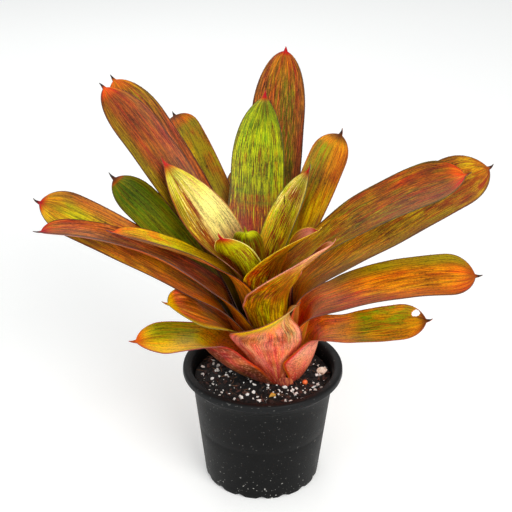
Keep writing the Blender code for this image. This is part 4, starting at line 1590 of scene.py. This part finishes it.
    @staticmethod
    def _multiply(piece: bpy.types.Object, copies: Sequence[Points]) -> None:
        """Repeats a piece's mesh inside itself and gives each copy its own corner points."""
        Bench.choose(piece)
        bpy.ops.object.mode_set(mode="EDIT")
        bpy.ops.mesh.select_all(action="SELECT")
        made = 1
        while made < len(copies):
            bpy.ops.mesh.select_all(action="SELECT")
            bpy.ops.mesh.duplicate()
            made *= 2
        bpy.ops.object.mode_set(mode="OBJECT")
        size = len(copies[0])
        points = Bench.corners(piece)
        points[:len(copies) * size] = np.concatenate(copies)
        Bench.move_corners(piece, points)
        for corner in piece.data.vertices:
            corner.select = corner.index >= len(copies) * size
        bpy.ops.object.mode_set(mode="EDIT")
        bpy.ops.mesh.delete(type="VERT")
        bpy.ops.object.mode_set(mode="OBJECT")

    def _fibres(self, draw: random.Random) -> None:
        """Thin bent fibres that lie on the mix."""
        Bench.clear_selection()
        bpy.ops.mesh.primitive_cylinder_add(vertices=5, radius=0.00022, depth=1.0)
        piece = Bench.take("soil_fibres")
        bpy.ops.object.mode_set(mode="EDIT")
        bpy.ops.mesh.select_all(action="SELECT")
        bpy.ops.mesh.subdivide(number_cuts=4)
        bpy.ops.object.mode_set(mode="OBJECT")
        stick = Bench.corners(piece)
        copies = []
        for _ in range(self.fibres):
            x, y = self._spot(draw)
            length = draw.uniform(0.004, 0.012)
            turn = draw.uniform(0.0, math.tau)
            bow = draw.uniform(-0.3, 0.3)
            run = stick[:, 2] * length
            bend = (stick[:, 2] ** 2) * length * bow + stick[:, 0]
            shaped = np.stack([x + run * math.cos(turn) - bend * math.sin(turn),
                               y + run * math.sin(turn) + bend * math.cos(turn), stick[:, 1]], axis=-1)
            reach = np.hypot(shaped[:, 0], shaped[:, 1]).max()
            if reach > 0.063:
                shaped[:, :2] *= 0.063 / reach
            shaped[:, 2] += self.surface(x, y) + draw.uniform(0.0006, 0.0016)
            copies.append(shaped)
        self._multiply(piece, copies)
        piece.data.materials.append(self._speckled("soil_fibres", (ink(46, 26, 18), ink(140, 96, 66)), 0.8))
        Bench.shade(piece, 60.0)
        self.pieces.append(Bench.ride(piece, "potting_mix"))

    def _odd_bit(self, name: str, place: tuple[float, float], size: float, squash: float, detail: int,
                 colours: tuple[Colour, Colour], roughness: float) -> None:
        """One larger bit: a bead or a chunk that lies on the mix."""
        ball = self._lump(name, max(detail, 3))
        piece = bpy.context.object
        draw = random.Random(name)
        depth = 0.15 if squash == 1.0 else 1.2
        shaped = self._dented(ball, draw, depth) * np.array([1.0, 0.8, squash]) * size
        height = self.surface(*place) + size * squash * 0.55
        Bench.move_corners(piece, shaped + np.array([*place, height]))
        piece.data.materials.append(self._speckled(name, colours, roughness))
        Bench.shade(piece, 45.0)
        self.pieces.append(Bench.ride(piece, "potting_mix"))


@dataclass
class Stem:
    """The short stem, hidden under the leaves, and the base of an old leaf before it.

    Attributes:
        shoulder: Radius of the shoulder.
        depth: How far the stem reaches into the mix.
        gap: Distance from the leaves' feet down to the stem.
        steps: Corners round each ring.
        stub_width: Width of the old leaf's base.
        stub_height: How far it stands out of the mix.
    """

    shoulder: float = 0.0240
    depth: float = 0.026
    gap: float = 0.00075
    steps: int = 64
    stub_width: float = 0.016
    stub_height: float = 0.009

    def build(self) -> bpy.types.Object:
        """Makes the stem with its leaf scars and hands it to the frame."""
        top = ROOT.stem_top - self.gap
        fall = top - ROOT.slope * (self.shoulder - ROOT.stem_radius)
        profile = [(self.shoulder - 0.0180, -self.depth), (self.shoulder - 0.0110, -self.depth),
                   (self.shoulder - 0.0060, fall - 0.0100), (self.shoulder, fall - 0.0012)]
        for share in np.linspace(0.0, 1.0, 16):
            radius = self.shoulder + (ROOT.stem_radius - self.shoulder) * share
            height = fall + (top - fall) * share
            profile.append((radius, height - (0.0003 if len(profile) % 2 else 0.0)))
        profile.append((0.001, top))
        stem = Bench.turned("stem_core", profile, self.steps)
        Bench.move_corners(stem, ROOT.leaned(Bench.corners(stem)))
        stem.data.materials.clear()
        stem.data.materials.append(self._bark())
        Bench.shade(stem, 40.0)
        self._stub()
        return Bench.ride(stem, "stem", "stem")

    def _stub(self) -> bpy.types.Object:
        """The withered base of an old leaf, a low wedge that stands in the mix before the root."""
        Bench.clear_selection()
        bpy.ops.mesh.primitive_uv_sphere_add(segments=48, ring_count=24, radius=1.0)
        stub = Bench.take("stem_old_leaf_base")
        points = Bench.corners(stub)
        across, through, up = points.T
        shaped = np.stack([across * self.stub_width / 2 * (1.0 - 0.25 * up),
                           through * 0.0009 - 0.0030 * up + 0.0040 * across**2,
                           up * self.stub_height], axis=-1)
        shaped += 0.0003 * np.sin(points[:, :1] * 17.0) * np.array([0.0, 1.0, 0.6])
        Bench.move_corners(stub, shaped + np.array([0.0205, -0.0215, ROOT.soil + 0.002]))
        graph = Graph("old_leaf_base")
        fleck = graph.noise(graph.scaled(graph.places(), (700.0, 700.0, 120.0)), 1.0, detail=3.0)
        stub.data.materials.append(graph.finish({
            "Base Color": graph.blend(MAROON, SALMON, fleck.rising(0.4, 0.68)),
            "Roughness": 0.55,
            "Normal": graph.bump(fleck, 0.5, 0.0004),
        }))
        Bench.shade(stub, 60.0)
        return Bench.ride(stub, "leaf_coral")

    def _bark(self) -> bpy.types.Material:
        """Brown woody skin ringed by leaf scars."""
        graph = Graph("stem_bark")
        place = graph.places()
        ring = graph.noise(graph.scaled(place, (60.0, 60.0, 700.0)), 1.0, detail=3.0)
        fleck = graph.noise(place, 500.0, detail=3.0)
        colour = graph.blend(ink(66, 34, 20), ink(150, 92, 56), ring.rising(0.4, 0.65))
        colour = graph.blend(colour, ink(40, 24, 16), fleck.rising(0.5, 0.7) * 0.6)
        return graph.finish({
            "Base Color": colour,
            "Roughness": 0.75,
            "Normal": graph.bump(ring + fleck * 0.5, 0.6, 0.0006),
        })


@dataclass
class Studio:
    """The pale floor, the soft lights and the camera.

    Attributes:
        azimuth: The camera's heading, in degrees; 0 looks from the front.
        elevation: The camera's height above the level, in degrees.
        distance: From the camera to its target.
        target: The point that the camera looks at.
        lens: Focal length in millimetres on the usual sensor.
        roll: The camera's roll, in degrees.
    """

    azimuth: float = 0.0
    elevation: float = 26.2
    distance: float = 1.0
    target: tuple[float, float, float] = (-0.0071, 0.0, 0.2285)
    lens: float = 78.56
    roll: float = 0.43
    floor_size: float = 14.0

    def build(self) -> None:
        """Sets up the floor, the surroundings, the lights and the camera."""
        self._floor()
        self._surroundings()
        self._lamp("key_light", (0.8, -1.3, 1.1), 1.1, 22.0, (1.0, 0.985, 0.965))
        self._lamp("fill_light", (-1.0, -1.5, 0.6), 1.4, 10.0, (0.96, 0.985, 1.0))
        self._lamp("back_light", (-0.3, 1.4, 1.3), 1.2, 5.0, (1.0, 1.0, 1.0))
        self._camera()

    def _floor(self) -> None:
        """A large pale floor."""
        Bench.clear_selection()
        bpy.ops.mesh.primitive_plane_add(size=self.floor_size, location=(0.0, 0.0, 0.0))
        floor = Bench.take("floor")
        graph = Graph("floor_paper")
        soft = graph.noise(graph.places(), 1.2, detail=2.0)
        floor.data.materials.append(graph.finish({
            "Base Color": graph.blend(ink(243, 244, 243), ink(248, 248, 247), soft),
            "Roughness": 0.9,
            "Emission Color": (1.0, 1.0, 0.995),
            "Emission Strength": 0.17,
        }))
        floor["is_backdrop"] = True

    @staticmethod
    def _surroundings() -> None:
        """White surroundings that light everything softly."""
        world = bpy.data.worlds.new("white_surroundings")
        world.use_nodes = True
        sky = world.node_tree.nodes["Background"]
        sky.inputs["Color"].default_value = (0.95, 0.965, 0.97, 1.0)
        sky.inputs["Strength"].default_value = 0.68
        bpy.context.scene.world = world
        bpy.context.scene.view_settings.view_transform = "Standard"

    @staticmethod
    def _lamp(name: str, place: tuple[float, float, float], size: float, power: float, colour: Colour) -> None:
        """A square soft light aimed at the plant."""
        lamp = bpy.data.lights.new(name, "AREA")
        lamp.size = size
        lamp.energy = power
        lamp.color = colour
        stand = bpy.data.objects.new(name, lamp)
        stand.location = place
        stand.rotation_euler = (Vector((0.0, 0.0, 0.18)) - Vector(place)).to_track_quat("-Z", "Y").to_euler()
        bpy.context.scene.collection.objects.link(stand)
        stand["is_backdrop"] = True

    def _camera(self) -> None:
        """The camera, at the angle from which the plant is usually seen."""
        around = math.radians(self.azimuth)
        up = math.radians(self.elevation)
        back = Vector((math.sin(around) * math.cos(up), -math.cos(around) * math.cos(up), math.sin(up)))
        camera = bpy.data.objects.new("camera", bpy.data.cameras.new("camera"))
        camera.data.lens = self.lens
        camera.data.sensor_width = 36.0
        camera.location = Vector(self.target) + back * self.distance
        aimed = back.to_track_quat("Z", "Y").to_matrix()
        camera.rotation_euler = (aimed @ Matrix.Rotation(math.radians(self.roll), 3, "Z")).to_euler()
        bpy.context.scene.collection.objects.link(camera)
        bpy.context.scene.camera = camera


def as_lists(bounds: Iterable[Iterable[float]]) -> list[list[float]]:
    """Bounds as plain lists of numbers."""
    return [[float(value) for value in corner] for corner in bounds]


def main() -> None:
    """Loads the frame and builds the pot, the mix, the stem, the leaves and the studio in order."""
    logging.basicConfig(level=logging.INFO, format="%(name)s: %(message)s")
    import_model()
    solid_box = as_lists(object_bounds())
    pot = Pot()
    pot.build()
    PottingMix(pot).build()
    Stem().build()
    Rosette(LEAVES, PAINTS, solid_box).build()
    Studio().build()


if __name__ == "__main__":
    main()
